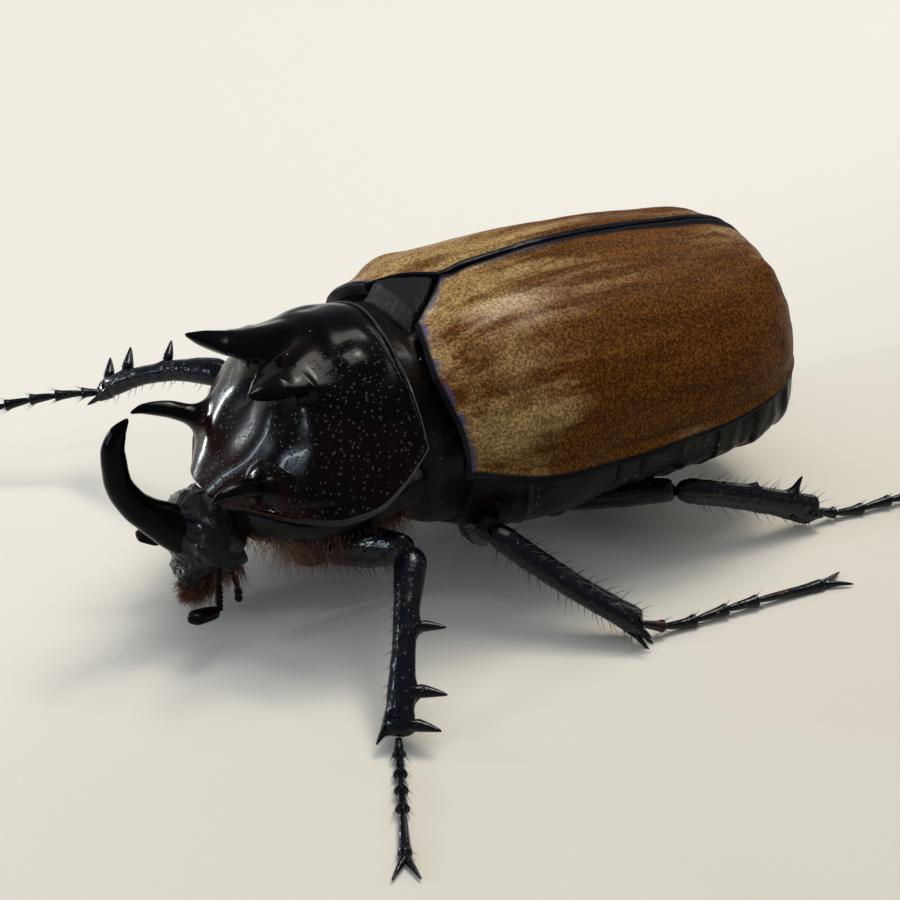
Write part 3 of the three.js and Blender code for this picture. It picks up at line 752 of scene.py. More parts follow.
@dataclass(frozen=True)
class BlackShellFinish:
    """Deep gloss black horn with scattered pits and a little dust, with painted glints in the pits and a painted
    highlight on the rim's bead.
    """

    name: str
    black: Colour = (0.0009, 0.0008, 0.0010)
    # Painted highlight: grey in the pits' floors stands in for the glints they catch
    warm: Colour = (0.010, 0.0022, 0.0012)
    hollow: Colour = (0.040, 0.038, 0.036)
    # Painted highlight: grey for the thin line of light along the rim's bead
    bead: Colour = (0.060, 0.062, 0.068)
    dust: Colour = (0.40, 0.37, 0.31)
    warm_share: float = 0.35
    gloss: float = 0.13
    pits: float = 1.6
    pit_share: float = 0.5
    wrinkle: float = 0.0
    coat: float = 0.2
    shine: float = 0.07
    dusty: float = 0.0
    smooth_top: bool = False

    def build(self) -> bpy.types.Material:
        """Makes the material."""
        s = Shader(self.name, ior=1.5, specular_ior_level=self.shine, coat_roughness=0.05, coat_ior=1.2)
        patches = s.noise(0.22, 3.0, 0.6)
        pits = s.cells(self.pits, s.wobbled(s.place, 0.8, 0.2)).above(0.28, 0.15)
        pits = pits * patches.above(0.62 - 0.3 * self.pit_share, 0.72 - 0.3 * self.pit_share)
        if self.smooth_top:
            x, y, z = s.xyz()
            top = (abs(x) + 0.1 * y - 0.5 * z).above(-1.6, -2.8)
            pits = pits * (1 - top)
        creases = s.noise(1.4, 4.0, 0.6, s.stretched(1.0, 0.6, 1.6)) * self.wrinkle
        specks = s.cells(0.9, s.wobbled(s.place, 2.0, 0.6)).above(0.060, 0.035)
        specks = specks * s.noise(0.3, 1.0).above(0.56 - self.dusty, 0.62 - self.dusty)
        fine = s.noise(6.0, 2.0)
        warmth = s.noise(0.13, 2.0).above(0.48, 0.66) * self.warm_share
        if self.smooth_top:
            warmth = warmth.or_more((y + 0.5 * z).above(-12.0, -15.5) * 0.9)
        colour = s.mix(warmth, self.black, self.warm)
        # Painted glints: the pits are tinted grey
        colour = s.mix(pits * 0.7, colour, self.hollow)
        if self.smooth_top:
            u, v = s.surface()
            # Painted highlight: the rim's bead is tinted grey, more towards the rear
            rim = v.above(0.990, 0.995).or_more(u.above(0.9955, 0.998)).or_more(u.above(0.0045, 0.002))
            colour = s.mix(rim * v.above(0.2, 0.7) * 0.7, colour, self.bead)
        colour = s.mix(specks * 0.8, colour, self.dust)
        crisp = s.noise(3.2, 4.0, 0.7, s.stretched(1.0, 0.7, 1.3)) * self.wrinkle
        height = creases * 2.0 + crisp * 2.0 + 0.15 * fine - pits * 0.6 + specks * 0.5
        s.feed(
            base_color=colour,
            roughness=self.gloss + 0.10 * patches + 0.25 * pits + 0.5 * specks,
            coat_weight=(self.coat - 0.5 * pits - 0.6 * specks).or_more(0.0),
            normal=s.bump(height, 0.06),
        )
        return s.material


@dataclass(frozen=True)
class LegFinish:
    """Black horn with a blue-grey sheen, coarsely pitted and grooved along its length."""

    name: str = "leg_shell"
    black: Colour = (0.0016, 0.0024, 0.0042)
    brown: Colour = (0.060, 0.015, 0.007)
    brown_share: float = 0.12

    def build(self) -> bpy.types.Material:
        """Makes the material."""
        s = Shader(self.name, ior=1.5, specular_ior_level=0.20, coat_roughness=0.08, coat_ior=1.25)
        grain = s.wobbled(s.place, 1.0, 0.8)
        pits = s.cells(1.5, grain).above(0.30, 0.12)
        wear = s.noise(0.5, 4.0, 0.65)
        grooves = s.noise(1.3, 3.0, 0.6, s.wobbled(s.place, 0.5, 1.5))
        colour = s.mix(wear.above(0.52, 0.74) * self.brown_share, self.black, self.brown)
        s.feed(
            base_color=colour,
            roughness=0.10 + 0.16 * wear + 0.2 * pits,
            coat_weight=0.25 - 0.25 * pits,
            normal=s.bump(grooves * 0.8 - 0.7 * pits, 0.10),
        )
        return s.material


@dataclass(frozen=True)
class BellyFinish:
    """Dark maroon, softer horn of the underside, with fine cross wrinkles."""

    name: str = "belly_shell"
    dark: Colour = (0.0014, 0.0011, 0.0011)
    maroon: Colour = (0.0065, 0.0027, 0.0018)
    dust: Colour = (0.36, 0.32, 0.26)

    def build(self) -> bpy.types.Material:
        """Makes the material."""
        s = Shader(self.name, ior=1.5, specular_ior_level=0.08, coat_roughness=0.2, coat_ior=1.2)
        patches = s.noise(0.25, 4.0, 0.6)
        wrinkles = s.noise(1.2, 4.0, 0.6, s.stretched(0.5, 2.2, 1.0))
        pits = s.cells(1.8, s.wobbled(s.place, 1.0, 0.6)).above(0.30, 0.12)
        specks = s.cells(1.1, s.wobbled(s.place, 2.0, 0.6)).above(0.12, 0.07) * s.noise(0.3, 1.0).above(0.52, 0.58)
        colour = s.mix(patches.above(0.42, 0.66), self.dark, self.maroon)
        s.feed(
            base_color=s.mix(specks * 0.8, colour, self.dust),
            roughness=0.28 + 0.25 * patches + 0.15 * pits + 0.3 * specks,
            coat_weight=0.25,
            normal=s.bump(wrinkles - 0.5 * pits, 0.09),
        )
        return s.material


@dataclass(frozen=True)
class FeelerFinish:
    """Reddish-brown horn of the feelers and mouth."""

    name: str = "feeler_shell"
    dark: Colour = (0.0018, 0.0009, 0.0008)
    amber: Colour = (0.020, 0.0045, 0.002)
    amber_share: float = 0.3

    def build(self) -> bpy.types.Material:
        """Makes the material."""
        s = Shader(self.name, ior=1.5, specular_ior_level=0.05, coat_roughness=0.15, coat_ior=1.2)
        cloud = s.noise(0.8, 3.0)
        fine = s.noise(5.0, 3.0, 0.6)
        s.feed(
            base_color=s.mix(cloud.above(0.35, 0.7) * self.amber_share, self.dark, self.amber),
            roughness=0.25 + 0.3 * fine,
            coat_weight=0.3,
            normal=s.bump(fine, 0.03),
        )
        return s.material


@dataclass(frozen=True)
class EyeFinish:
    """Glossy dark eye with hundreds of tiny facets."""

    dark: Colour = (0.004, 0.003, 0.003)
    glow: Colour = (0.012, 0.006, 0.004)

    def build(self) -> bpy.types.Material:
        """Makes the material."""
        s = Shader("eye_facets", ior=1.5, specular_ior_level=0.25, coat_roughness=0.03, coat_ior=1.2, coat_weight=0.3)
        facets = s.cells(9.0)
        s.feed(
            base_color=s.mix(facets.above(0.2, 0.6) * 0.6, self.glow, self.dark),
            roughness=0.12 + 0.2 * facets,
            normal=s.bump(-facets, 0.02),
        )
        return s.material


@dataclass(frozen=True)
class HairFinish:
    """Stiff hair, each strand a little lighter or darker than the next."""

    name: str
    root: Colour
    tip: Colour

    def build(self) -> bpy.types.Material:
        """Makes the material."""
        s = Shader(self.name, ior=1.5)
        strand = s.noise(2.5, 2.0)
        _, v = s.surface()
        colour = s.mix(v.or_less(1.0) * 0.6 + strand.above(0.35, 0.65) * 0.4, self.root, self.tip)
        s.feed(base_color=colour, roughness=0.38 + 0.25 * strand, normal=s.bump(s.noise(9.0), 0.01))
        return s.material


@dataclass(frozen=True)
class FloorFinish:
    """Plain pale paper with a very faint grain, with painted shade that darkens it towards +X and a little towards +Y.
    """

    pale: Colour = (0.560, 0.530, 0.480)
    shade: Colour = (0.45, 0.420, 0.365)

    def build(self) -> bpy.types.Material:
        """Makes the material."""
        s = Shader("pale_floor", ior=1.45)
        x, y, _ = s.xyz()
        # Painted shade: the floor darkens towards +X, the camera's side, and a little towards +Y
        near = (x + 0.2 * y).above(-48.0, 58.0)
        grain = s.noise(1.6, 3.0, 0.7)
        s.feed(
            base_color=s.mix(near, self.pale, self.shade),
            roughness=0.75 + 0.15 * grain,
            normal=s.bump(grain, 0.05, 0.6),
        )
        return s.material


# ---- Pieces --------------------------------------------------------------------------------------


class Lie(Enum):
    """Which way hairs lie on their skin."""

    HANGING = "hanging"
    BACKWARD = "backward"
    FORWARD = "forward"
    OUTWARD = "outward"


class Side(Enum):
    """The two sides of the body, as the sign of X."""

    LEFT = 1
    RIGHT = -1

    @property
    def word(self) -> str:
        """The side's name in node names."""
        return self.name.lower()


class LegPair(Enum):
    """The three pairs of legs."""

    FORE = "fore"
    MID = "mid"
    HIND = "hind"


def add_piece(
    name: str, form: Form, finish: bpy.types.Material, slot: str, *nodes: str, crease: float = 40.0
) -> bpy.types.Object:
    """Turns a form into a finished piece of the part.

    Args:
        name: the piece's name.
        form: its form in the body's frame; it is used up.
        finish: its material.
        slot: a material slot's name; not used.
        nodes: the part's nodes that it stands for.
        crease: angle in degrees from which an edge stays sharp.

    Returns:
        The object.
    """
    for vert in form.bm.verts:
        vert.co = PLACE.into_part(vert.co)
    mesh = bpy.data.meshes.new(name)
    form.bm.to_mesh(mesh)
    form.bm.free()
    mesh.shade_smooth()
    mesh.set_sharp_from_angle(angle=math.radians(crease))
    mesh.materials.append(finish)
    piece = bpy.data.objects.new(name, mesh)
    bpy.context.scene.collection.objects.link(piece)
    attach(piece, "root")
    if nodes:
        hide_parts(*nodes)
    mesh.calc_loop_triangles()
    LOG.info("%s: %d triangles", name, len(mesh.loop_triangles))
    return piece


@dataclass(frozen=True)
class ElytraSection:
    """The cross-section of both wing cases at one place along the body."""

    width: float
    height: float
    margin: float
    squareness: float

    @classmethod
    def at(cls, y: float) -> "ElytraSection":
        """The section at y."""
        end = ELYTRA_LENGTH + 0.1
        side_fall = clamp((y - ELYTRA_PARALLEL) / (end - ELYTRA_PARALLEL))
        crown_fall = clamp((y - ELYTRA_FALL) / (end - ELYTRA_FALL))
        margin = along(ELYTRA_MARGIN, y)
        return cls(
            along(ELYTRA_WIDTH, y) * (1 - side_fall**2.5) ** 0.4,
            (along(ELYTRA_CROWN, y) - margin) * (1 - crown_fall**3) ** 0.45,
            margin,
            along(ELYTRA_SQUARENESS, y),
        )

    def held_under(self, x: float, z: float, room: float) -> tuple[float, float]:
        """Moves a point in until it lies at least room below the wing cases."""
        wide, high = max(self.width - room, 0.3), max(self.height - room, 0.3)
        if z <= self.margin:
            return x, z
        reach = (abs(x) / wide) ** self.squareness + ((z - self.margin) / high) ** self.squareness
        if reach <= 1:
            return x, z
        share = reach ** (-1 / self.squareness)
        return x * share, self.margin + (z - self.margin) * share


@dataclass
class WingCases:
    """The two wing cases, with a raised seam, rolled edges and faint ribs along them."""

    columns: int = 126
    rows: int = 150
    ribs: tuple[float, ...] = (0.27, 0.47, 0.66)

    def point(self, column: float, v: float) -> Vector:
        """A point on the left case: column from the seam to the side margin, v from base to end."""
        u = column**1.2
        forward = ELYTRA_SHOULDER * math.sin(math.pi * u) ** 2
        start = ELYTRA_BASE - forward + NOTCH_LENGTH * max(0.0, 1 - column / NOTCH_SHARE)
        y = start + (ELYTRA_LENGTH - start) * math.sin(v * math.pi / 2) ** 1.2
        section = ElytraSection.at(y)
        across = section.width * bulge(math.sin(u * math.pi / 2), section.squareness)
        up = section.margin + section.height * bulge(math.cos(u * math.pi / 2), section.squareness)
        raised = sum(knob.at(across, y) for knob in ELYTRA_SWELLS)
        return Vector((GAP / 2 + across + 0.5 * raised, y, up + raised))

    def inner(self, column: float, v: float) -> Vector:
        """The same place on the inside of the shell."""
        place = self.point(column, v) - normal_at(self.point, column, v) * ELYTRA_SHELL
        place.x = max(place.x, GAP / 2)
        return place

    def relief(self, column: float, v: float, place: Vector) -> float:
        """How far the surface stands proud of its smooth form."""
        seam = 0.16 * hump(place.x, 0.55, 0.32) - 0.10 * hump(place.x, 1.15, 0.30)
        rim = 0.16 * ease(0.975, 0.99, column) - 0.14 * hump(column, 0.958, 0.014)
        base = 0.14 * hump(v, 0.012, 0.010) - 0.16 * hump(v, 0.052, 0.022)
        fade = ease(0.03, 0.12, v) * (1 - ease(0.72, 0.9, v))
        ribs = sum(0.07 * hump(column, rib, 0.035) - 0.05 * hump(column, rib - 0.07, 0.04) for rib in self.ribs)
        dents = noise.noise(Vector((place.x * 0.30, place.y * 0.20, place.z * 0.30))) * 0.16
        dents += noise.noise(Vector((place.x * 0.9, place.y * 0.45, place.z * 0.9 + 7))) * 0.06
        if place.y < NOTCH_LENGTH + 1:
            seam *= ease(NOTCH_LENGTH - 1.2, NOTCH_LENGTH + 1.0, place.y)
        return seam + rim + base + ribs * fade + dents * ease(0.0, 0.1, v) - 0.08

    def build(self) -> None:
        """Makes both wing cases."""
        finish = WingCaseFinish().build()
        left = Form.plate(self.point, self.inner, self.columns, self.rows, rounding=0.14)
        outside = {vert: place for vert, place in left.places().items() if self.is_outer(vert, place)}
        left.bm.normal_update()
        moved = {vert: vert.co + vert.normal * self.relief(*place, vert.co) for vert, place in outside.items()}
        for vert, place in moved.items():
            vert.co = place
            vert.co.x = max(vert.co.x, GAP / 2)
        right = left.mirrored()
        add_piece("wing_case_left", left, finish, "wing_case", "elytron_left")
        add_piece("wing_case_right", right, finish, "wing_case", "elytron_right")

    def is_outer(self, vert: bmesh.types.BMVert, place: tuple[float, float]) -> bool:
        """Whether a vertex belongs to the outer face."""
        return (vert.co - self.point(clamp(place[0]), clamp(place[1]))).length < 0.3


@dataclass
class Scutellum:
    """The small three-cornered plate between the wing cases."""

    thickness: float = 0.8

    def point(self, u: float, v: float) -> Vector:
        """A point on its top: u from right to left, v from base to tip."""
        y = lerp(SCUTELLUM_BASE, NOTCH_LENGTH + ELYTRA_BASE - GAP * 2, v)
        across = (u - 0.5) * 2
        half_width = lerp(SCUTELLUM_HALF_WIDTH, 0.1, v) + 0.5 * math.sin(math.pi * v)
        drop = 0.5 * (1 - v) * across * across + 1.3 * (1 - ease(0.0, 0.3, v)) ** 2
        return Vector((half_width * across, y, along(SCUTELLUM_HEIGHT, v) - drop))

    def under(self, u: float, v: float) -> Vector:
        """The same place on its underside."""
        return self.point(u, v) - Vector((0, 0, self.thickness))

    def relief(self, u: float, v: float, place: Vector) -> float:
        """A dip along the middle and a raised border."""
        border = 1 - ease(0.0, 0.14, min(u, 1 - u))
        grain = noise.noise(place * 1.6) * 0.05
        return 0.03 * border - 0.12 * hump(u, 0.5, 0.25) * hump(v, 0.35, 0.3) + grain

    def build(self, finish: bpy.types.Material) -> None:
        """Makes the plate."""
        plate = Form.plate(self.point, self.under, 40, 40, rounding=0.15).emboss(self.relief)
        add_piece("scutellum_plate", plate, finish, "black_shell", "scutellum")


@dataclass
class Pronotum:
    """The shield behind the head, with its beaded rim and four horns."""

    columns: int = 170
    rows: int = 150
    lean: float = 0.75  # how much of the quarter circle its sides take up, so that they slope outwards

    def point(self, u: float, v: float) -> Vector:
        """A point on the shield: u from the right rim to the left, v from front to rear."""
        share = 1 - v
        angle, last = (u - 0.5) * math.pi * self.lean, 0.5 * math.pi * self.lean
        squareness = along(PRONOTUM_SQUARENESS, share)
        side = [along(PRONOTUM_SIDE, share, k) for k in (1, 2, 3)]
        top = [along(PRONOTUM_TOP, share, k) for k in (1, 2, 3)]
        across = bulge(math.sin(angle), squareness) / bulge(math.sin(last), squareness)
        low = bulge(math.cos(last), squareness)
        up = (bulge(math.cos(angle), squareness) - low) / (1 - low)
        place = Vector((side[0] * across, lerp(side[1], top[1], up), lerp(side[2], top[2], up)))
        place.z += up * sum(knob.at(place.x, place.y) for knob in PRONOTUM_SWELLS)
        return place

    def under(self, u: float, v: float) -> Vector:
        """The underside, a dish below the rim."""
        rim = self.point(1.0 if u > 0.5 else 0.0, v)
        across = math.sin((u - 0.5) * math.pi)
        depth = PRONOTUM_RIM + PRONOTUM_FLOOR * v * (1 - across * across)
        return Vector((abs(rim.x) * across, rim.y, rim.z - depth))

    def relief(self, u: float, v: float, place: Vector) -> float:
        """The beaded rim and the shallow dents of the shield's top."""
        edge = min(u, 1 - u)
        side = 0.20 * hump(edge, 0.004, 0.012) - 0.10 * hump(edge, 0.034, 0.018)
        rear = 0.18 * hump(v, 0.997, 0.010) - 0.10 * hump(v, 0.972, 0.014)
        bead = max(side, rear, key=abs) * ease(0.0, 0.15, v)
        return bead + noise.noise(place * 0.35) * 0.08 * ease(0, 0.1, edge)

    def build(self, finish: bpy.types.Material, horn_finish: bpy.types.Material) -> BVHTree:
        """Makes the shield and its horns.

        Args:
            finish: the shield's material.
            horn_finish: the horns' material.

        Returns:
            A search tree of the shield.
        """
        shield = Form.plate(self.point, self.under, self.columns, self.rows, rounding=0.12)
        shield.bm.normal_update()
        moved = {}
        for vert, (u, v) in shield.places().items():
            if (vert.co - self.point(clamp(u), clamp(v))).length < 0.25:
                moved[vert] = vert.co + vert.normal * self.relief(u, v, vert.co)
        for vert, place in moved.items():
            vert.co = place
        ground = shield.tree()
        for name, keys, radius, squareness in (
            ("rear", SHIELD_HORN_REAR, 1.7, 1.4), ("front", SHIELD_HORN_FRONT, 1.7, 1.5),
        ):
            horn = Taper(keys, X_AXIS, 0.04, 0.02, squareness).form(64, 110)
            mirrored = horn.mirrored()
            for growing, side in ((horn, Side.LEFT), (mirrored, Side.RIGHT)):
                own = growing.tree()
                grow_together(growing, own, ground, radius)
                grow_together(shield, ground, own, radius)
                piece = f"shield_horn_{name}_{side.word}"
                add_piece(piece, growing, horn_finish, "black_shell", f"horn_{name}_{side.word}")
        add_piece("shield", shield, finish, "black_shell", "pronotum")
        return ground


@dataclass(frozen=True)
class Barrel:
    """A rounded length of the trunk through keys (t, y, half width, crown, widest, lowest)."""

    keys: Keys
    squareness: float
    cap: float = 0.05
    under_elytra: bool = True
    dome: float = 0.0

    def point(self, u: float, v: float) -> Vector:
        """A point on its skin: u round the body, v from front to rear with rounded ends."""
        t = clamp((v - self.cap) / (1 - 2 * self.cap))
        to_end = min(v, 1 - v) / self.cap
        full = math.sqrt(clamp(1 - (1 - to_end) ** 2)) if to_end < 1 else 1.0
        y, half_width, crown, widest, lowest = (along(self.keys, t, k) for k in range(1, 6))
        up = bulge(math.sin(math.tau * u), self.squareness)
        y += self.dome * (1 - full * full) if v > 0.5 else 0.0
        x = half_width * full * bulge(math.cos(math.tau * u), self.squareness)
        z = widest + full * up * ((crown - widest) if up > 0 else (widest - lowest))
        if self.under_elytra:
            x, z = ElytraSection.at(y).held_under(x, z, ELYTRA_SHELL + GAP)
        return Vector((x, y, z))


@dataclass
class Trunk:
    """The body under the wing cases and the shield: its breast, belly and end."""

    around: int = 120
    rings: int = 90
    belly_seams: tuple[float, ...] = (0.16, 0.33, 0.50, 0.67, 0.84)

    def belly_relief(self, u: float, v: float, place: Vector) -> float:
        """The overlapping plates of the belly: each rises to its rear edge and drops to the next."""
        height = 0.0
        for start, end in zip((0.0, *self.belly_seams), (*self.belly_seams, 1.0)):
            if start <= v <= end:
                share = (v - start) / (end - start)
                height = 0.28 * share - 0.28 * ease(0.93, 1.0, share)
        side = hump(abs(place.x), 11.6, 0.35) * 0.12 if place.z < 0 else 0.0
        folds = noise.noise(Vector((place.x * 0.5, place.y * 1.3, place.z * 0.5))) * 0.14
        return height - side + folds - 0.25

    def breast_relief(self, u: float, v: float, place: Vector) -> float:
        """Raised middle of the breast and its sunken seams."""
        keel = 0.25 * hump(place.x, 0.0, 2.2) - 0.22 * hump(place.x, 0.0, 0.25) if place.z < -5 else 0.0
        slope = -0.16 * hump(place.y + abs(place.x) * 0.35, 9.5, 0.35)
        return keel + slope + noise.noise(place * 0.5) * 0.14 - 0.1

    def build(self, finish: bpy.types.Material, membrane: bpy.types.Material) -> None:
        """Makes the trunk's pieces."""
        lengths = (
            ("breast_front", "prosternum", PROSTERNUM, 1.6, self.breast_relief, finish),
            ("breast_middle", "mesothorax", MESOTHORAX, 2.2, self.breast_relief, membrane),
            ("breast_rear", "metathorax", METATHORAX, 2.3, self.breast_relief, finish),
            ("belly", "abdomen", ABDOMEN, 2.3, self.belly_relief, finish),
            ("tail_plate", "pygidium", PYGIDIUM, 2.2, self.breast_relief, finish),
        )
        for name, node, keys, squareness, relief, dressing in lengths:
            cap, dome = (0.2, 1.3) if node == "pygidium" else (0.05, 0.0)
            barrel = Barrel(keys, squareness, cap, node != "prosternum", dome)
            form = Form.ball(barrel.point, self.around, self.rings).emboss(relief)
            add_piece(name, form, dressing, "black_shell", node)


@dataclass
class Head:
    """The head with its long curved horn, eyes, mouth, palps and feelers."""

    around: int = 96
    rings: int = 80

    def point(self, u: float, v: float) -> Vector:
        """A point on the head's capsule: u round it, v from the neck to the lip."""
        cap = 0.06
        t = clamp((v - cap) / (1 - 2 * cap))
        to_end = min(v, 1 - v) / cap
        full = math.sqrt(clamp(1 - (1 - to_end) ** 2)) if to_end < 1 else 1.0
        pitch = math.radians(along(HEAD, t, 5))
        up = bulge(math.sin(math.tau * u), 2.3) * along(HEAD, t, 4) * full
        x = bulge(math.cos(math.tau * u), 2.3) * along(HEAD, t, 3) * full
        return Vector((x, along(HEAD, t, 1) - math.sin(pitch) * up, along(HEAD, t, 2) + math.cos(pitch) * up))

    def relief(self, u: float, v: float, place: Vector) -> float:
        """The rough, folded face, with a raised lip and cheeks."""
        face = ease(-0.2, 0.5, math.sin(math.tau * u))
        folds = noise.noise(Vector((place.x * 0.8, place.y * 0.9, place.z * 1.6))) * 0.30
        folds += (0.5 - abs(noise.noise(place * 1.7))) * 0.16 - 0.06
        folds += noise.noise(place * 2.6) * 0.10
        lip = 0.30 * hump(v, 0.93, 0.04) - 0.15 * hump(v, 0.85, 0.05)
        cheek = 0.45 * hump(abs(place.x), 4.0, 1.0) * hump(v, 0.50, 0.10)
        return (folds + lip) * face + cheek - 0.1

    def build(self, finish: bpy.types.Material, horn_finish: bpy.types.Material) -> None:
        """Makes the capsule, the horn, the eyes and the mouth."""
        capsule = Form.ball(self.point, self.around, self.rings).emboss(self.relief)
        ground = capsule.tree()
        horn = Taper(HEAD_HORN, X_AXIS, 0.06, 0.02).form(64, 160)
        own = horn.tree()
        grow_together(horn, own, ground, 1.4)
        grow_together(capsule, ground, own, 1.4)
        add_piece("long_horn", horn.emboss(self.horn_relief), horn_finish, "black_shell", "horn_head")
        add_piece("head_capsule", capsule, finish, "black_shell", "head")
        eye_finish = EyeFinish().build()
        for side in Side:
            centre = Vector((EYE_CENTRE[0] * side.value, EYE_CENTRE[1], EYE_CENTRE[2]))
            centre -= Vector((1.05 * side.value, -0.3, -0.3))
            eye = Form.ball(lambda u, v: centre + self.direction(u, v) * EYE_RADIUS * 0.9, 48, 32)
            add_piece(f"eye_ball_{side.word}", eye, eye_finish, "eye", f"eye_{side.word}")
        mouth = Taper(MOUTH, X_AXIS, 0.1, 0.15).form(40, 40)
        amber = FeelerFinish("mouth_shell", amber_share=0.9).build()
        add_piece("mouth", mouth.emboss(self.mouth_relief), amber, "mouth_and_feelers", "mouthparts")
        dark = FeelerFinish().build()
        for side in Side:
            keys = [(t, x * side.value, *rest) for t, x, *rest in PALP]
            palp = Taper(keys, X_AXIS, 0.06, 0.08).form(20, 48).emboss(self.joint_relief)
            add_piece(f"palp_feeler_{side.word}", palp, dark, "mouth_and_feelers", f"palp_{side.word}")
            feeler = self.antenna(*(Vector(p) for p in ANTENNAE[side.word]))
            add_piece(f"feeler_{side.word}", feeler, dark, "mouth_and_feelers", f"antenna_{side.word}")

    @staticmethod
    def direction(u: float, v: float) -> Vector:
        """Unit vector for u round the upright axis and v from pole to pole."""
        ring = math.sin(math.pi * v)
        return Vector((ring * math.cos(math.tau * u), ring * math.sin(math.tau * u), -math.cos(math.pi * v)))

    @staticmethod
    def horn_relief(u: float, v: float, place: Vector) -> float:
        """The slightly uneven surface of a horn, smoother towards its tip."""
        return noise.noise(place * 0.8) * 0.08 * (1 - v) - 0.02

    @staticmethod
    def mouth_relief(u: float, v: float, place: Vector) -> float:
        """Folds and a cleft between the jaws."""
        return noise.noise(place * 1.5) * 0.25 - 0.35 * hump(place.x, 0.0, 0.25) - 0.1

    @staticmethod
    def joint_relief(u: float, v: float, place: Vector) -> float:
        """Pinches between the joints of a palp."""
        return -0.12 * sum(hump(v, at, 0.035) for at in (0.36, 0.55, 0.7))

    def antenna(self, root: Vector, bend: Vector, tip: Vector) -> Form:
        """One feeler: a long first joint, six short ones and a club of three leaves.

        Args:
            root: where it springs from the head.
            bend: where the club starts.
            tip: where the club ends.

        Returns:
            The form.
        """
        form = Form()
        lengths = (0.0, 0.46, 0.56, 0.65, 0.74, 0.83, 0.92, 1.0)
        for i, (start, end) in enumerate(zip(lengths, lengths[1:])):
            a, b = root.lerp(bend, start), root.lerp(bend, min(end + 0.03, 1.0))
            wide = 0.34 if i else 0.32
            keys = [(0, *a, 0.22, 0.22), (0.6, *a.lerp(b, 0.6), wide, wide), (1, *b, 0.27, 0.27)]
            form.join(Taper(keys, X_AXIS, 0.15, 0.2).form(14, 14))
        axis = (tip - bend).normalized()
        flat = axis.cross(UPRIGHT).normalized()
        stack = flat.cross(axis).normalized()
        for leaf in (-1, 0, 1):
            start = bend + stack * 0.15 * leaf
            end = tip + stack * 0.20 * leaf - axis * 0.10 * abs(leaf)
            sizes = ((0, 0.28, 0.2), (0.25, 0.62, 0.34), (0.75, 0.72, 0.36), (1, 0.4, 0.22))
            keys = [(t, *start.lerp(end, t), wide, thick) for t, wide, thick in sizes]
            form.join(Taper(keys, flat, 0.1, 0.2).form(20, 28))
        return form


@dataclass(frozen=True)
class Tooth:
    """A tooth or spur of a shin: its place along it, size and direction."""

    share: float
    length: float
    radius: float
    swing: float
    lean: float


@dataclass(frozen=True)
class LegStyle:
    """What the two legs of a pair have in common."""

    femur: Keys
    tibia: Keys
    bow: float
    teeth: tuple[Tooth, ...]


LEG_STYLES = {
    LegPair.FORE: LegStyle(
        ((0, 1, 1), (0.15, 1.5, 1.3), (0.55, 1.75, 1.35), (0.9, 1.35, 1.1), (1, 0.9, 0.8)),
        ((0, 0.8, 0.7), (0.12, 1.3, 1.05), (0.35, 1.05, 0.85), (0.6, 0.92, 0.75), (0.85, 1.1, 0.8), (1, 0.85, 0.65)),
        1.2,
        (
            Tooth(0.49, 3.2, 0.62, 0, -4), Tooth(0.8, 3.6, 0.72, 0, 0), Tooth(0.94, 3.3, 0.68, 0, 6),
            Tooth(0.9, 2.9, 0.5, 180, 60),
        ),
    ),
    LegPair.MID: LegStyle(
        ((0, 1, 1), (0.15, 1.5, 1.25), (0.5, 1.75, 1.3), (0.9, 1.3, 1.05), (1, 0.9, 0.8)),
        (
            (0, 0.7, 0.7), (0.12, 1.2, 1.1), (0.4, 1.35, 1.05), (0.8, 1.4, 1.05), (0.95, 1.45, 1.0),
            (1, 1.2, 0.8),
        ),
        -0.5,
        (
            Tooth(0.6, 1.7, 0.4, 0, 35), Tooth(0.93, 2.6, 0.45, 0, 55), Tooth(0.9, 3.4, 0.42, 75, 70),
            Tooth(0.94, 2.7, 0.42, 35, 72),
        ),
    ),
    LegPair.HIND: LegStyle(
        ((0, 1, 1), (0.15, 1.4, 1.2), (0.5, 1.35, 1.25), (0.9, 1.1, 1.0), (1, 0.9, 0.8)),
        ((0, 0.7, 0.7), (0.12, 1.15, 1.0), (0.4, 1.15, 0.95), (0.8, 1.25, 1.0), (0.95, 1.35, 1.0), (1, 1.1, 0.8)),
        0.3,
        (
            Tooth(0.5, 1.5, 0.4, 0, 20), Tooth(0.8, 2.8, 0.5, 0, 4), Tooth(0.8, 2.9, 0.5, 180, 68),
            Tooth(0.9, 2.2, 0.4, 110, 70),
        ),
    ),
}


